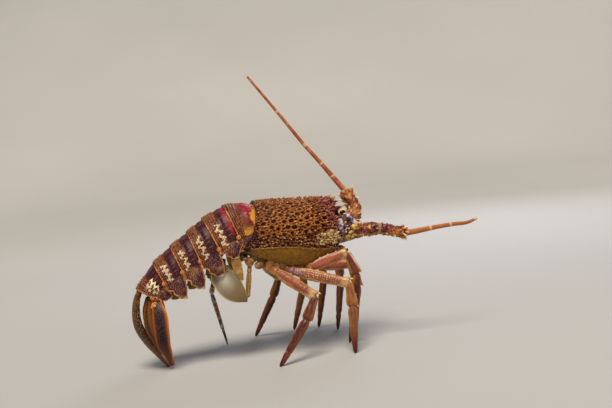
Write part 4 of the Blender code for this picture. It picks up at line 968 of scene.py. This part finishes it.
paint(
    tree, shader,
    (reach, {0.0: "#9A6A30", 0.15: "#B88850", 0.17: "#7C4838", 0.32: "#B07444", 0.345: "#905A3A",
             0.38: "#924C3A", 0.47: "#8A4A2E", 0.49: "#D4B474", 0.507: "#A8702E", 0.54: "#561E20",
             0.66: "#6E3C20", 0.69: "#4A2012", 0.83: "#3C190C", 0.85: "#64280C", 0.95: "#3E1406",
             1.0: "#160703"}),
    ((reach, {0.0: "#A87C40", 0.3: "#BC8C4E", 0.35: "#CC9650", 0.46: "#D4A258", 0.495: "#EAD8A0",
              0.52: "#CC9040", 0.66: "#C4802E", 0.7: "#A05E1E", 0.84: "#96541C", 0.95: "#541E0A",
              1.0: "#1E0A04"}),
     (wavering(tree, rim, cloud, 0.7, -0.35), {0.45: 0.0, 0.8: 1.0})),
    # Near white along the top of the thighs and knees of the first two legs and the mouth legs: painted
    # highlight.
    ("#EADCD4", (fields["upper"], {0.55: 0.0, 0.85: 0.8}), second,
     (reach, {0.33: 0.0, 0.36: 1.0, 0.58: 1.0, 0.66: 0.0})),
    ("#8A6A86", (reach, {0.17: 0.3, 0.34: 0.8, 0.37: 0.0}), third),
    ("#ECD2A0", (row_dot, {0.2: 0.9, 0.34: 0.0}), third, thigh),
    ("#B47C3C", shin, third),
    ("#2A0E0A", shin, fourth),
    ("#C87252", second, thigh, 0.4),
    ("#A8843E", fifth, 0.65),
    ((cloud, {0.42: "#1C1C34", 0.5: "#5A5468", 0.56: "#D8CCC0", 0.62: "#8A5A34"}), far_fifth, 0.85),
    ("#E8CE9A", (fleck, {0.1: 0.2, 0.22: 0.0})),
    ("#6E3038", (streak, {0.38: 0.55, 0.55: 0.0})),
    ("#5F2417", (fine, {0.34: 0.4, 0.5: 0.0})),
    relief=fine, strength=0.35, depth=0.4,
)

leg_tubes = (
    (0, 1, ((0.03, 5.0, 4.8), (0.3, 5.5, 5.2), (0.75, 5.7, 5.3), (1.0, 5.2, 4.9)), 18, (0.2, 0.35)),
    (1, 2, ((0.05, 4.3, 4.0), (0.4, 4.8, 4.4), (0.8, 5.6, 4.7), (1.0, 5.2, 4.4)), 18, (0.3, 0.35)),
    (2, 3, ((0.03, 4.4, 3.8), (0.08, 5.2, 4.3), (0.22, 6.3, 4.7), (0.6, 6.2, 4.6), (0.86, 5.7, 4.4),
            (0.94, 5.9, 4.6), (0.985, 5.2, 4.0)), 60, (0.4, 0.25)),
    (3, 4, ((0.04, 4.4, 3.6), (0.2, 4.8, 4.0), (0.45, 5.2, 4.3), (0.75, 6.3, 4.9), (0.93, 5.9, 4.7),
            (0.98, 5.2, 4.2)), 40, (0.55, 0.25)),
    (4, 5, ((0.02, 4.0, 3.4), (0.06, 4.8, 4.0), (0.2, 5.1, 4.1), (0.5, 4.3, 3.6), (0.64, 4.0, 3.4),
            (0.68, 3.6, 3.1)), 46, (0.5, 0.3)),
    (4, 5, ((0.685, 3.1, 2.8), (0.72, 3.5, 3.0), (0.82, 3.0, 2.7), (0.92, 2.4, 2.1), (0.97, 1.7, 1.5),
            (0.995, 0.9, 0.8)), 40, (0.4, 0.5)),
)  # joints it lies between; share of the way, half width and thickness; rows of points; lengths of the caps
# For a piece of the leg, the share along it and the length of each spur.
spur_places = {2: ((0.3, 1.4), (0.5, 1.5), (0.7, 1.6), (0.95, 4.6)), 3: ((0.5, 1.4), (0.9, 3.0))}
leg_lump, leg_comb = 0.16, 0.16  # millimetres: lumps of the legs, ridges along the shin
spur_list = []
for legs, tag in ((right_legs, "right"), (left_legs, "left")):
    for number, row in legs.items():
        spots = [np.array(p, float) for p in row[:6]]
        girth = row[6] * (0.8 if number == 5 else 1.0)
        thigh, shin = unit(spots[3] - spots[2]), unit(spots[4] - spots[3])
        up = unit(np.cross(unit(thigh + shin), np.cross(thigh, shin)))
        halves = ([], [])
        for piece, (start, end, table, count, caps) in enumerate(leg_tubes):
            points, fields = tube_form(stations_of(spots[start], spots[end], table, girth), up, count, 33,
                                       caps)
            points, outward = lumpy(points, fields["length"], leg_lump * girth, 6.0, number)
            if piece == 4:
                comb = leg_comb * np.cos(np.linspace(0, 2 * np.pi, 33) * 8)[None]
                ridges = comb * soft(fields["length"], 0.05, 0.2)
                points = points + outward * ridges[..., None]
            points[..., 2] = np.maximum(points[..., 2], 0)
            fields.update(piece=piece, leg=number / 5 + (0.1 if number == 5 and tag == "left" else 0))
            tube = lay_skin(f"leg_{tag}_{number}_{piece}", points, (0.03, 0.004 * count), fields)
            halves[piece > 2].append(tube)
            along = thigh if piece == 2 else shin
            for share, long in spur_places.get(piece, ()) if girth > 0.8 else ():
                i = int(share * (len(points) - 1))
                spur_list.append((points[i, 0], outward[i, 0] * 0.7 + along * 0.7, along, long))
        for which, half in zip(("upper", "lower"), halves):
            joined = join(half, f"walking_leg_{tag}_{number}_{which}")
            hand_over(joined, leg_finish, "limb", f"leg_{tag}_{number}_{which}")
roots, lean, along, long = (np.array(column) for column in zip(*spur_list))
patches = np.stack([np.linspace(0.05, 0.95, len(long)), np.full(len(long), 0.5)], 1)
sizes = np.stack([0.3 * long + 0.4, 0.3 * long + 0.4, long], 1)
ahead = -np.cross(np.cross(along, lean), lean)
spurs = scatter("leg_spurs", thorn_form, roots, lean, ahead, sizes, {"shade": dice.random(len(long))},
                patches)
# Dense horny chitin: rather glossy, brown at the root and pale yellow towards the tip.
spur_finish, tree, shader, _, fields = new_finish(
    "spine_chitin", "tip", "shade", Roughness=0.3, Specular_IOR_Level=0.35, Coat_Weight=0.1,
    Coat_Roughness=0.15)
paint(tree, shader, (fields["shade"], {0.0: "#A45428", 1.0: "#CC8A44"}),
      ("#FBEAAE", (fields["tip"], {0.15: 0.0, 0.55: 1.0})))
hand_over(spurs, spur_finish, "limb")

# Knobs at the roots of the legs.
# Where the first joint of each hind leg turns on the breastplate, its shell swells into a worn pale knob.
knob_rows = (
    (-60.3, 29.0, 113.6, 2.5, 2.5, 2.2), (-56.2, 28.5, 110.6, 5.4, 5.6, 2.6),
    (-33.8, 31.6, 104.8, 5.0, 5.4, 2.8), (-37.5, 30.6, 101.0, 3.0, 3.0, 2.2),
    (-20.0, 31.4, 101.6, 3.6, 4.4, 2.4), (-15.5, 32.6, 98.4, 2.2, 2.6, 1.8),
    (-46.0, 28.0, 105.0, 5.5, 4.5, 2.6), (-27.0, 30.6, 102.0, 4.0, 4.0, 2.2),
)  # x, y, height, half length, half height, half depth
knobs = []
for side in (-1, 1):
    for x, y, z, wide, tall, deep in knob_rows:
        bpy.ops.mesh.primitive_uv_sphere_add(
            location=metres((x, side * y, z)), radius=1.0, scale=(wide / 1000, deep / 1000, tall / 1000),
            segments=28, ring_count=18)
        knobs.append(bpy.context.object)
root_knobs = join(knobs, "leg_root_knobs")
# Chitin worn by rubbing: satin tan with pale scuffs.
knob_finish, tree, shader, place, _ = new_finish("knob_chitin", Roughness=0.4, Specular_IOR_Level=0.25)
cloud = add_node(tree, "TexNoise", {"Vector": place, "Scale": 1000 / 6.667, "Detail": 3.0})
knob_colours = {0.34: "#7E5228", 0.5: "#A87A48", 0.62: "#C6A480", 0.72: "#B0803E"}
paint(tree, shader, (cloud, knob_colours), relief=cloud, strength=0.3)
hand_over(root_knobs, knob_finish, "shell")

# Head in front of the shell.
# Under the eyes stands a short block of shell that carries both pairs of feelers, with a beak between them
# and a bar across it that the eyes sit on. It is purple and pink with cream ridges.
head_finish, tree, shader, place, fields = new_finish(
    "head_chitin", "tone", Roughness=0.4, Specular_IOR_Level=0.25, Coat_Weight=0.06, Coat_Roughness=0.2)
# Waxy chitin, moist looking: maroon, lilac, gold and ochre, each in clouds with small cream grains.
cloud = add_node(tree, "TexNoise", {"Vector": place, "Scale": 1000 / 5.882, "Detail": 4.0})
lump = add_node(tree, "TexVoronoi", {"Vector": place, "Scale": 1000 / 3.2}, out="Distance")
lilac_up, gold_up, ochre_up = (
    add_node(tree, "Math", {0: fields["tone"], 1: low}, operation="GREATER_THAN") for low in (0.5, 1.5, 2.5))
paint(
    tree, shader, (cloud, {0.36: "#2A1020", 0.5: "#5A2428", 0.6: "#8A5240", 0.72: "#C8A078"}),
    ((cloud, {0.36: "#3C2A58", 0.46: "#8A7694", 0.53: "#D8CCCC", 0.66: "#F0E8DC"}), lilac_up),
    ((cloud, {0.34: "#8A4A22", 0.5: "#D09A48", 0.66: "#F2D890"}), gold_up),
    ((cloud, {0.34: "#4E3012", 0.52: "#8E6A30", 0.68: "#C4A058"}), ochre_up),
    ("#E8C888", (lump, {0.1: 0.5, 0.35: 0.0})),
    relief=lump, strength=0.5, depth=0.6, invert=True,
)
bulk = [((45.5, 0, 134), 22.0, 13.0), ((53.3, 0, 133.5), 24.0, 13.0), ((58, 0, 133), 25.0, 14.0),
        ((64, 0, 132.2), 26.0, 12.3), ((67, 0, 132.2), 25.0, 10.8)]
parts = [
    (0, bulk, (0, 1, 0), 60, 97, (0.0, 0.0), 0.75),
    (0, [((57.2, y, 151.3), 3.6, 3.2) for y in (-11, -5, 0, 5, 11)], (1, 0, 0), 30, 33, (0.1, 0.1), 1.0),
    (0, [((58.2, 0, z), 5.0, 8.0) for z in (140, 144, 149, 153)], (1, 0, 0), 16, 33, (0.1, 0.2), 1.0),
    (0, [((60, 0, 143), 4.4, 4.0), ((66, 0, 144), 3.0, 2.8), ((71, 0, 145), 0.8, 0.8)], (0, 0, 1), 20, 25,
     (0.2, 0.4), 1.0),
]  # tone (0 maroon, 1 lilac, 2 gold, 3 ochre), stations, way of the width, rows, columns, caps, squareness
side_parts = (
    (1, ((52.8, 25.0, 147.0, 2.0, 2.0), (52.2, 25.4, 141, 3.2, 2.7), (53.0, 25.6, 134, 2.9, 2.6),
         (55.4, 24.6, 127.5, 2.2, 2.0)), (1, 0, 0), 44, 25, (0.6, 0.6)),
    (1, ((58.5, 22.6, 148.8, 2.0, 2.2), (62, 24.0, 147.2, 2.7, 2.9), (66.0, 25.0, 142.8, 2.4, 2.7),
         (70.6, 26.0, 137.4, 1.9, 1.9)), (0, 0, 1), 40, 21, (0.6, 0.6)),
    (2, ((66.6, 25.6, 134.8, 2.6, 2.4), (69.2, 26.4, 132.8, 3.4, 3.2), (71.4, 26.0, 131.2, 2.6, 2.4)),
     (0, 0, 1), 20, 25, (0.6, 0.6)),
    (2, ((71.8, 26.4, 136.4, 2.0, 1.8), (74.2, 26.8, 135.4, 2.3, 2.0)), (0, 0, 1), 12, 21, (0.8, 0.8)),
    (2, ((62.6, 26.0, 127.0, 1.6, 1.5), (64.6, 26.4, 128.0, 1.9, 1.8)), (0, 0, 1), 12, 21, (0.8, 0.8)),
    (3, ((47.0, 23.6, 119.4, 3.3, 2.8), (54, 24.0, 121.0, 3.6, 3.2), (63, 24.2, 122.4, 3.6, 3.4),
         (74, 24.6, 124.0, 3.4, 3.2), (83, 25.0, 124.8, 2.6, 2.6)), (0, 0, 1), 60, 33, (0.4, 0.6)),
    (0, ((61, 21.5, 140.5, 3.0, 2.8), (65, 23.0, 144.0, 2.5, 2.3), (67.5, 24, 147.5, 1.0, 0.9)),
     (1, 0, 0), 24, 25, (0.2, 0.5)),
)  # the same for each side: two lilac ridges, gold knobs, the ochre bar below and the cone under the eye


def mirrored(rows, side):
    """Stations on one side of the animal from rows of x, y, height, half width and half thickness."""
    return [((x, side * y, z), wide, thick) for x, y, z, wide, thick in rows]


for side, _ in sides:
    parts += [(tone, mirrored(rows, side), *rest, 1.0) for tone, rows, *rest in side_parts]
pieces = []
for n, (tone, stations, up, count, columns, caps, power) in enumerate(parts):
    height, size = (0.35, 4.5) if n < 4 else (0.6, 2.6)
    points, fields = tube_form(stations, up, count, columns, caps, power)
    points, outward = lumpy(points, fields["length"], height, size, n + 3.0)
    pieces.append(lay_skin(f"head_{n}", points, (0.05, 0.02), {"tone": tone}))
    if n == 0:
        bulk_points, bulk_out = points.reshape(-1, 3), outward.reshape(-1, 3)
hand_over(join(pieces, "head_block"), head_finish, "shell", "head_front")

# Warts of the head.
# Low rounded warts of the same shell crowd the sides of the head block, cream, pink and violet by turns.
wart_form = ringed_form(((1.0, 0.0, -0.4, 0.0), (0.95, 0.0, 0.25, 0.3), (0.6, 0.1, 0.62, 0.7),
                         (0, 0.15, 0.75, 1.0)), 9)
sided = (np.abs(bulk_points[:, 1]) > 19) & (bulk_points[:, 0] > 50) & (np.abs(bulk_out[:, 1]) > 0.6)
at = spread(bulk_points, np.full(len(bulk_points), 2.1), sided, 9000, 260)
big = dice.uniform(0.55, 1.25, len(at))
patches = 0.1 + 0.8 * (bulk_points[at][:, [0, 2]] - (45, 115)) / (25, 35)
warts = scatter("head_warts", wart_form, bulk_points[at], bulk_out[at],
                np.tile((0.9, 0.0, 0.3), (len(at), 1)), np.stack([big * 1.1, big, big * 0.9], 1),
                {"shade": dice.random(len(at))}, patches)
# Chitin beads, each of one colour: small soft lights on every one.
wart_finish, tree, shader, _, fields = new_finish(
    "wart_chitin", "shade", Roughness=0.4, Specular_IOR_Level=0.25)
wart_colours = {0.0: "#3A1838", 0.3: "#7A3A44", 0.5: "#B8906C", 0.75: "#E0C08C", 1.0: "#E8DCD0"}
paint(tree, shader, (fields["shade"], wart_colours))
hand_over(warts, wart_finish, "shell")

# Horns over the eyes.
# The two large horns of the shell point up and forward over the eyes, with a long spine beside each, one
# between them, and two more on each side of the front edge. They are red-brown with yellow tips.
side_horns = (
    (((35, 12.3, 160.5, 5.2, 4.8), (41, 12.9, 163.5, 4.6, 4.0), (47, 13.3, 166.5, 3.0, 2.7),
      (51.2, 13.5, 169.2, 1.2, 1.1), (52.4, 13.5, 170.6, 0.4, 0.4)), 40),
    (((44, 18.4, 156.4, 2.9, 2.7), (50, 18.9, 157.0, 2.3, 2.1), (56, 19.3, 157.7, 1.3, 1.2),
      (60.4, 19.6, 158.5, 0.35, 0.35)), 34),
    (((48.5, 25.2, 146.3, 2.4, 2.2), (53, 26.2, 146.8, 1.7, 1.6), (57.0, 27.0, 147.6, 0.35, 0.35)), 24),
    (((47.0, 26.3, 130, 2.2, 2.0), (51, 27.0, 130.2, 1.5, 1.4), (54.8, 27.8, 130.6, 0.35, 0.35)), 24),
)  # x, y, height, half width and half thickness along each; rows of points
horns = [(mirrored(rows, side), count) for side, _ in sides for rows, count in side_horns]
horns.append(([((47, 0, 161.5), 3.0, 2.8), ((53, 0, 162.4), 2.0, 1.9), ((58.5, 0, 163.2), 0.4, 0.4)], 28))
pieces = []
for n, (stations, count) in enumerate(horns):
    points, fields = tube_form(stations, (0, 0, 1) if n % 4 else (1, 0, 0.01), count, 25, (0.1, 0.6))
    pieces.append(lay_skin(f"horn_{n}", points, (0.02, 0.02), {"tip": fields["length"]}))
# Dense smooth chitin: a soft gloss, dark red clouds, and the tip worn to horn yellow.
horn_finish, tree, shader, place, fields = new_finish(
    "horn_chitin", "tip", Roughness=0.36, Specular_IOR_Level=0.25, Coat_Weight=0.06, Coat_Roughness=0.15)
cloud = add_node(tree, "TexNoise", {"Vector": place, "Scale": 1000 / 3.846, "Detail": 3.0})
swing = add_node(tree, "Math", {0: cloud, 1: 0.3, 2: fields["tip"]}, operation="MULTIPLY_ADD")
horn_colours = {0.25: "#6A3020", 0.5: "#7A1E24", 0.85: "#4A1420", 1.05: "#C08A4A"}
paint(tree, shader, (swing, horn_colours), relief=cloud, strength=0.3, depth=0.4)
hand_over(join(pieces, "brow_horns"), horn_finish, "shell")

# Eyes.
# Each eye is a glossy black dome of tiny lenses on a short stalk of shell, with a broad pale rim where the
# dome meets the stalk.
eye_finish, tree, shader, place, fields = new_finish(
    "cornea_and_stalk", "length",
    Roughness=0.25, Specular_IOR_Level=0.15, Coat_Weight=0.25, Coat_Roughness=0.04)
# A clear hard cornea over black lenses, wet looking and sharp in its lights. The stalk is dull shell.
lens_grid = add_node(tree, "TexVoronoi", {"Vector": place, "Scale": 1000 / 0.3125, "Randomness": 0.3},
                     out="Distance")
cloud = add_node(tree, "TexNoise", {"Vector": place, "Scale": 1000 / 1.4286, "Detail": 2.0})
swing = add_node(tree, "Math", {0: cloud, 1: 0.06, 2: fields["length"]}, operation="MULTIPLY_ADD")
eye_colours = {0.2: "#7A4A3C", 0.4: "#C09A6E", 0.62: "#E8D8AE", 0.9: "#E2B47C", 0.925: "#2A120C",
               0.94: "#050406"}
paint(tree, shader, (swing, eye_colours), relief=lens_grid, strength=0.12, depth=0.2)
eye_rows = ((0.0, 3.1), (1.5, 3.3), (3.0, 3.6), (5.0, 4.2), (7.2, 4.75), (8.9, 4.75), (9.9, 4.35),
            (10.7, 3.8), (11.5, 3.0), (12.1, 2.1), (12.45, 1.2))  # way out from the stalk's root, radius
for side, tag in sides:
    stations = [((57.2, side * (11.3 + out), 151.3), radius, radius * 0.86) for out, radius in eye_rows]
    points, fields = tube_form(stations, (1, 0, 0), 90, 41, (0.1, 0.15))
    hand_over(lay_skin(f"eye_dome_{tag}", points, (0.03, 0.013), fields), eye_finish, "eye", f"eye_{tag}")

# Antennae.
# Each antenna has a thick stalk of two long spiny joints, purple-brown with rows of yellow spines, and a
# stiff whip made of hundreds of short salmon rings, here and there one paler.
stalk_finish, tree, shader, place, fields = new_finish(
    "antenna_stalk_chitin", "length", "upper", "red",
    Roughness=0.4, Specular_IOR_Level=0.25, Coat_Weight=0.06, Coat_Roughness=0.2)
# Thick rough chitin: dark purple-brown or rusty, spattered with gold, ochre below and pale at the joints.
cloud = add_node(tree, "TexNoise", {"Vector": place, "Scale": 1000 / 9.09, "Detail": 3.0})
fleck = add_node(tree, "TexVoronoi", {"Vector": place, "Scale": 1000 / 2.4, "Randomness": 0.9},
                 out="Distance")
turned = add_node(tree, "Math", {0: fields["upper"], 1: -1.0}, operation="MULTIPLY")
turned = add_node(tree, "Math", {0: cloud, 1: 0.8, 2: turned}, operation="MULTIPLY_ADD")
paint(
    tree, shader, (cloud, {0.34: "#30102C", 0.46: "#4A1624", 0.53: "#762C2C", 0.6: "#A8602C",
                           0.7: "#DCA850"}),
    ((cloud, {0.32: "#4C1A18", 0.5: "#804030", 0.6: "#A86A3C", 0.72: "#D09A50"}), fields["red"]),
    ("#9A6E26", (turned, {0.85: 0.0, 1.15: 0.9})),
    ("#E8BC74", (fleck, {0.14: 0.6, 0.3: 0.0})),
    ("#D9B278", (fields["length"], {0.0: 0.75, 0.1: 0.0, 0.9: 0.0, 1.0: 0.7})),
    relief=fleck, depth=0.6, invert=True,
)

# Hard bendy chitin in short rings: an even satin salmon, darker in the grooves, with a few pale rings.
whip_finish, tree, shader, place, fields = new_finish(
    "antenna_whip_rings", "ring", "node_ring", "tan", Roughness=0.42, Specular_IOR_Level=0.3)
cloud = add_node(tree, "TexNoise", {"Vector": place, "Scale": 1000 / 6.25, "Detail": 2.0})
paint(
    tree, shader, (cloud, {0.32: "#9A4626", 0.52: "#C06A42", 0.72: "#DC966A"}),
    ("#AC6C28", fields["tan"]),
    ("#652416", fields["ring"], 0.3),
    ("#EED2A4", fields["node_ring"]),
)

antenna_rows = {
    "right": dict(
        joint=((67.3, -20, 129), (97, -25, 128), (128, -28, 119)),
        whip=((142, -29, 119.6), (156, -30, 120.8), (182, -31, 122), (203, -31.5, 122.2), (212, -32, 125)),
        base_thorns=((0.12, 2, 2.0), (0.34, 4, 3.2), (0.62, 4, 3.4), (0.93, 6, 2.4)),
        upper_thorns=((0.25, 3, 2.6), (0.55, 4, 3.4), (0.86, 7, 5.6), (0.98, 7, 4.2)),
        radius=8.1, girth=1.0, slim=0.93, red=0.15, fall=1.3, tan=0.8,
        nodes=((29, 1.3), (53, 1.3), (84, 1.6))),
    "left": dict(
        joint=((67.3, 18, 134), (86, 34, 144), (76, 42, 171)),
        whip=((66, 44.5, 186), (54, 47, 204), (35, 51, 231), (10, 56, 270), (-22, 63, 319)),
        base_thorns=((0.2, 4, 3.6), (0.45, 5, 4.6), (0.7, 5, 4.8), (0.93, 6, 3.4)),
        upper_thorns=((0.2, 4, 4.6), (0.42, 5, 5.4), (0.66, 5, 5.8), (0.9, 7, 5.6)),
        radius=8.6 * 1.1, girth=1.1, slim=1.0, red=0.9, fall=1.1, tan=0.15,
        nodes=((23, 0.9), (43, 1.3), (73, 2.3), (125, 1.5))),
}  # thorns: share along, how many round, length; nodes: place along the whip, half width
whip_root, whip_tip = 3.6, 1.5
thorn_list = []
for tag, sizes in antenna_rows.items():
    root, elbow, end = (np.array(p, float) for p in sizes["joint"])
    r, slim = sizes["radius"], sizes["slim"]
    base_table = ((0.02, 7.6, 7.2), (0.15, 8.3 * slim, 7.8), (0.35, 8.5 * slim, 7.9),
                  (0.68, r * 0.97, r * 0.88), (0.9, r * 0.93, r * 0.86), (0.985, r * 0.82, r * 0.76))
    upper_table = ((0.015, r * 0.82, r * 0.75), (0.1, r * 0.9 * slim, r * 0.84),
                   (0.25, r * 0.9 * slim, r * 0.84), (0.6, r * 0.86 * slim, r * 0.8),
                   (0.86, r * 0.88 * slim, r * 0.82), (0.995, r * 0.68, r * 0.66))
    for kind, start, stop, table in (("base", root, elbow, base_table), ("upper", elbow, end, upper_table)):
        points, fields = tube_form(stations_of(start, stop, table), (0, 0, 1), 70, 65, (0.25, 0.2))
        points, outward = lumpy(points, fields["length"], 0.5, 5.0, sizes["girth"])
        stalk = lay_skin(f"antenna_{tag}_{kind}_joint", points, (0.05, 0.035),
                         {**fields, "red": sizes["red"]})
        hand_over(stalk, stalk_finish, "shell", f"antenna_{tag}_{kind}")
        axis = unit(stop - start)
        for n, (share, count, long) in enumerate(sizes[f"{kind}_thorns"]):
            i = int((share * 0.86 + 0.07) * (len(points) - 1))
            for k in range(count):
                j = int(((k + 0.5 * (n % 2) + dice.uniform(-0.12, 0.12)) / count % 1) * 64)
                thorn_list.append((points[i, j], outward[i, j] * 0.72 + axis * 0.68, outward[i, j],
                                   long * dice.uniform(0.75, 1.1), (0.1 + 0.8 * j / 64, 0.1 + 0.8 * i / 80)))
    line = np.array([end + axis * 0.3, *sizes["whip"]])
    radii = whip_root + (whip_tip - whip_root) * np.linspace(0, 1, len(line)) ** sizes["fall"]
    length = way_along(line)[-1]
    points, fields = tube_form(zip(line, radii, radii), (0, 1, 0), int(length / 0.35), 21, (0.2, 0.6))
    centre = points[:, :-1].mean(1, keepdims=True)
    way = way_along(centre[:, 0])[:, None]
    ring = 0.5 + 0.5 * np.cos(2 * np.pi * way / 1.75)  # 1.75 mm from ring to ring, coarser than the real ones
    bright = np.maximum.reduce([soft(np.abs(way - at), wide * 1.5, wide * 0.5)
                                for at, wide in sizes["nodes"]])
    points = centre + (points - centre) * (1 - 0.07 * ring + 0.1 * bright)[..., None]
    fields = {"ring": ring, "node_ring": bright * 0.6, "tan": sizes["tan"]}
    whip = lay_skin(f"antenna_{tag}_whip_rings", points, (0.02, length / 1000), fields)
    hand_over(whip, whip_finish, "limb", f"antenna_{tag}_whip")
roots, lean, ahead, long, patches = (np.array(column) for column in zip(*thorn_list))
sizes = np.stack([0.2 * long + 0.45, 0.2 * long + 0.45, long * 1.1], 1)
thorns = scatter("antenna_thorns", thorn_form, roots, lean, ahead, sizes, {"shade": dice.random(len(long))},
                 patches)
hand_over(thorns, spur_finish, "shell")

# Small feelers and mouth legs.
# The first pair of feelers is slim and jointed and ends in two short whips. Under the head the last pair of
# mouth legs is folded.
mouth_rows = (
    ((34.3, 4.6, 105.6, 3.2, 2.9), (44, 7.5, 104.5, 3.9, 2.9), (52, 9.4, 107.6, 3.3, 2.6)),
    ((53.6, 9.5, 108, 2.6, 2.3), (58.8, 9.2, 106.6, 2.7, 2.4), (59.6, 9.0, 104, 2.4, 2.2)),
    ((59.6, 9.0, 104, 2.1, 2.0), (58.4, 8.6, 98.5, 2.6, 2.2), (56.8, 8.4, 95, 2.0, 1.8)),
    ((56.8, 8.4, 95, 1.7, 1.5), (54, 8.2, 91.4, 1.5, 1.3), (51, 8.0, 88, 0.7, 0.7)),
)  # x, y, height, half width and half thickness along each joint
feeler_rows = ((67.3, 5, 128, 2.4, 2.4), (71, 5.2, 127.8, 2.2, 2.2), (78.5, 5.5, 127.1, 1.8, 1.8),
               (79.8, 5.5, 127, 2.2, 2.2), (90, 6, 125.2, 1.6, 1.6), (91.6, 6, 125, 2.0, 2.0),
               (102, 6.4, 122.4, 1.3, 1.3), (103.6, 6.5, 122, 1.5, 1.5))
for side, tag in sides:
    tubes = [(mirrored(feeler_rows, side), 90)]
    fork = np.array((101.0, side * 6.45, 122.6))
    for reach in (np.array((20, side * 3.0, -3)), np.array((20, side * 1.0, -8))):
        tubes.append(([(fork, 1.0, 1.0), (fork + reach * 0.5 + (0, 0, 0.8), 0.75, 0.75),
                       (fork + reach, 0.35, 0.35)], 60))
    pieces = []
    for n, (stations, count) in enumerate(tubes):
        points, _ = tube_form(stations, (0, 0, 1), count, 17, (0.3, 0.5))
        ring = 0.5 + 0.5 * np.cos(np.arange(len(points)) * 1.3)[:, None] * (n > 0)
        fields = {"ring": ring, "node_ring": 0.0, "tan": 0.5}
        pieces.append(lay_skin(f"feeler_{tag}_{n}", points, (0.012, 0.04), fields))
    hand_over(join(pieces, f"small_feeler_{tag}"), whip_finish, "limb", f"feeler_{tag}")
    pieces = []
    for n, rows in enumerate(mouth_rows):
        points, fields = tube_form(mirrored(rows, side), (0, 0, 1), 30, 25, (0.4, 0.35))
        fields.update(piece=min(n + 2, 5), leg=0.2)
        pieces.append(lay_skin(f"mouth_{tag}_{n}", points, (0.02, 0.02), fields))
    hand_over(join(pieces, f"folded_mouth_leg_{tag}"), leg_finish, "limb", f"mouth_leg_{tag}")

# Swimmerets.
# Under the second to fifth rings hang pairs of thin leaves that fan water. The first pair is large, greenish
# white and veined, with a thickened yellow rim.
leaf_path = ((-83.5, 19, 116.5, 2.4), (-88.5, 21.8, 108.5, 8), (-89, 24, 100, 12.5), (-84.5, 27, 91, 14.5),
             (-77, 29, 80, 13), (-70.6, 30, 73.2, 8.6), (-66.4, 30, 68.6, 3.6),
             (-64.6, 30, 66.2, 0.7))  # x, y, height, half width
# The smaller leaves: way back, way down and half width.
small_leaf = ((-3, 0, 2.2), (0, 4, 5.0), (4, 7.5, 6.4), (9, 10, 5.2), (14, 11.5, 1.0))
# Thin wet skin stretched between veins: grey-green darkened as painted shade, a painted pearly highlight in
# the middle, and a yellow rim.
leaf_finish, tree, shader, place, fields = new_finish(
    "swimmeret_membrane", "length", "cross", Roughness=0.4, Specular_IOR_Level=0.25)
vein = add_node(tree, "TexNoise", {"Vector": drawn_out(tree, 0.15), "Scale": 1000 / 2, "Detail": 2.0})
cloud = add_node(tree, "TexNoise", {"Vector": place, "Scale": 1000 / 14.286, "Detail": 3.0})
rim = add_node(tree, "Math", {0: fields["cross"]}, operation="ABSOLUTE")
paint(
    # Grey-green ground along the leaf: its own colour, darkened as painted shade.
    tree, shader, (fields["length"], {0.0: "#705832", 0.22: "#786A4E", 0.45: "#8C8678", 0.7: "#786A4E",
                                      1.0: "#705A34"}),
    ("#84684A", (cloud, {0.42: 0.6, 0.6: 0.0})),
    ("#6E5A3A", (vein, {0.5: 0.0, 0.75: 0.3})),
    # Pale middle of the leaf: painted highlight.
    ("#D6DACE", (rim, {0.1: 0.6, 0.6: 0.0}), (fields["length"], {0.2: 0.0, 0.38: 1.0, 0.7: 0.0})),
    ("#CFC084", (rim, {0.88: 0.0, 0.96: 0.85})),
    relief=vein, strength=0.3, depth=0.3,
)
for n in range(2, 6):
    for side, tag in sides:
        if n == 2:
            path, width_way = [(x, side * y, z, half) for x, y, z, half in leaf_path], np.array([0.8, 0, 0.6])
        else:
            middle = np.array(joints[n - 1]) * 0.55 + np.array(joints[n]) * 0.45
            deep = belly_depth[n - 1] * 0.55 + belly_depth[n] * 0.45
            up = unit(np.array([middle[2] - middle[0], 0, middle[3] - middle[1]]))
            ahead = np.array([up[2], 0, -up[0]])
            start = np.array([middle[0], side * middle[4] * 0.36, middle[1]]) - up * (deep + 1.0)
            path = [(*(start - ahead * a - up * b), half) for a, b, half in small_leaf]
            width_way = np.array([0.55, side * 0.3, -0.78])
        points, fields = blade_form(path, width_way, 1.0, 0.0, 90, 73, 0.08, 0.3)
        leaf = lay_skin(f"swimmeret_leaf_{tag}_{n}", points, (0.05, 0.06), fields)
        hand_over(leaf, leaf_finish, "pale", f"swimmeret_{tag}_{n}")

# Front lobes beside the first swimmerets.
# A short pointed lobe of tan shell hangs in front of each large leaf, grown on the side of the second ring.
lobe_finish, tree, shader, place, fields = new_finish(
    "lobe_chitin", "cross", Roughness=0.42, Specular_IOR_Level=0.25)
# Thin springy chitin: satin tan with an orange rim.
cloud = add_node(tree, "TexNoise", {"Vector": place, "Scale": 1000 / 6.667, "Detail": 3.0})
rim = add_node(tree, "Math", {0: fields["cross"]}, operation="ABSOLUTE")
paint(tree, shader, (cloud, {0.35: "#7A5426", 0.55: "#A47C40", 0.7: "#C4A064"}),
      ("#C88C3C", (rim, {0.8: 0.0, 0.95: 0.8})))
lobe_path = ((-72.6, 28.0, 119.0, 3.8), (-71.2, 29.0, 111.5, 5.4), (-70.0, 29.5, 103.5, 5.0),
             (-68.0, 29.8, 96.5, 3.2), (-66.3, 30.0, 91.0, 0.8))
for side, tag in sides:
    placed = [(x, side * y, z, half) for x, y, z, half in lobe_path]
    points, fields = blade_form(placed, np.array([1.0, 0, 0.2]), 1.8, 0.0, 60, 49, 0.05)
    hand_over(lay_skin(f"front_lobe_{tag}", points, (0.03, 0.03), fields), lobe_finish, "shell")
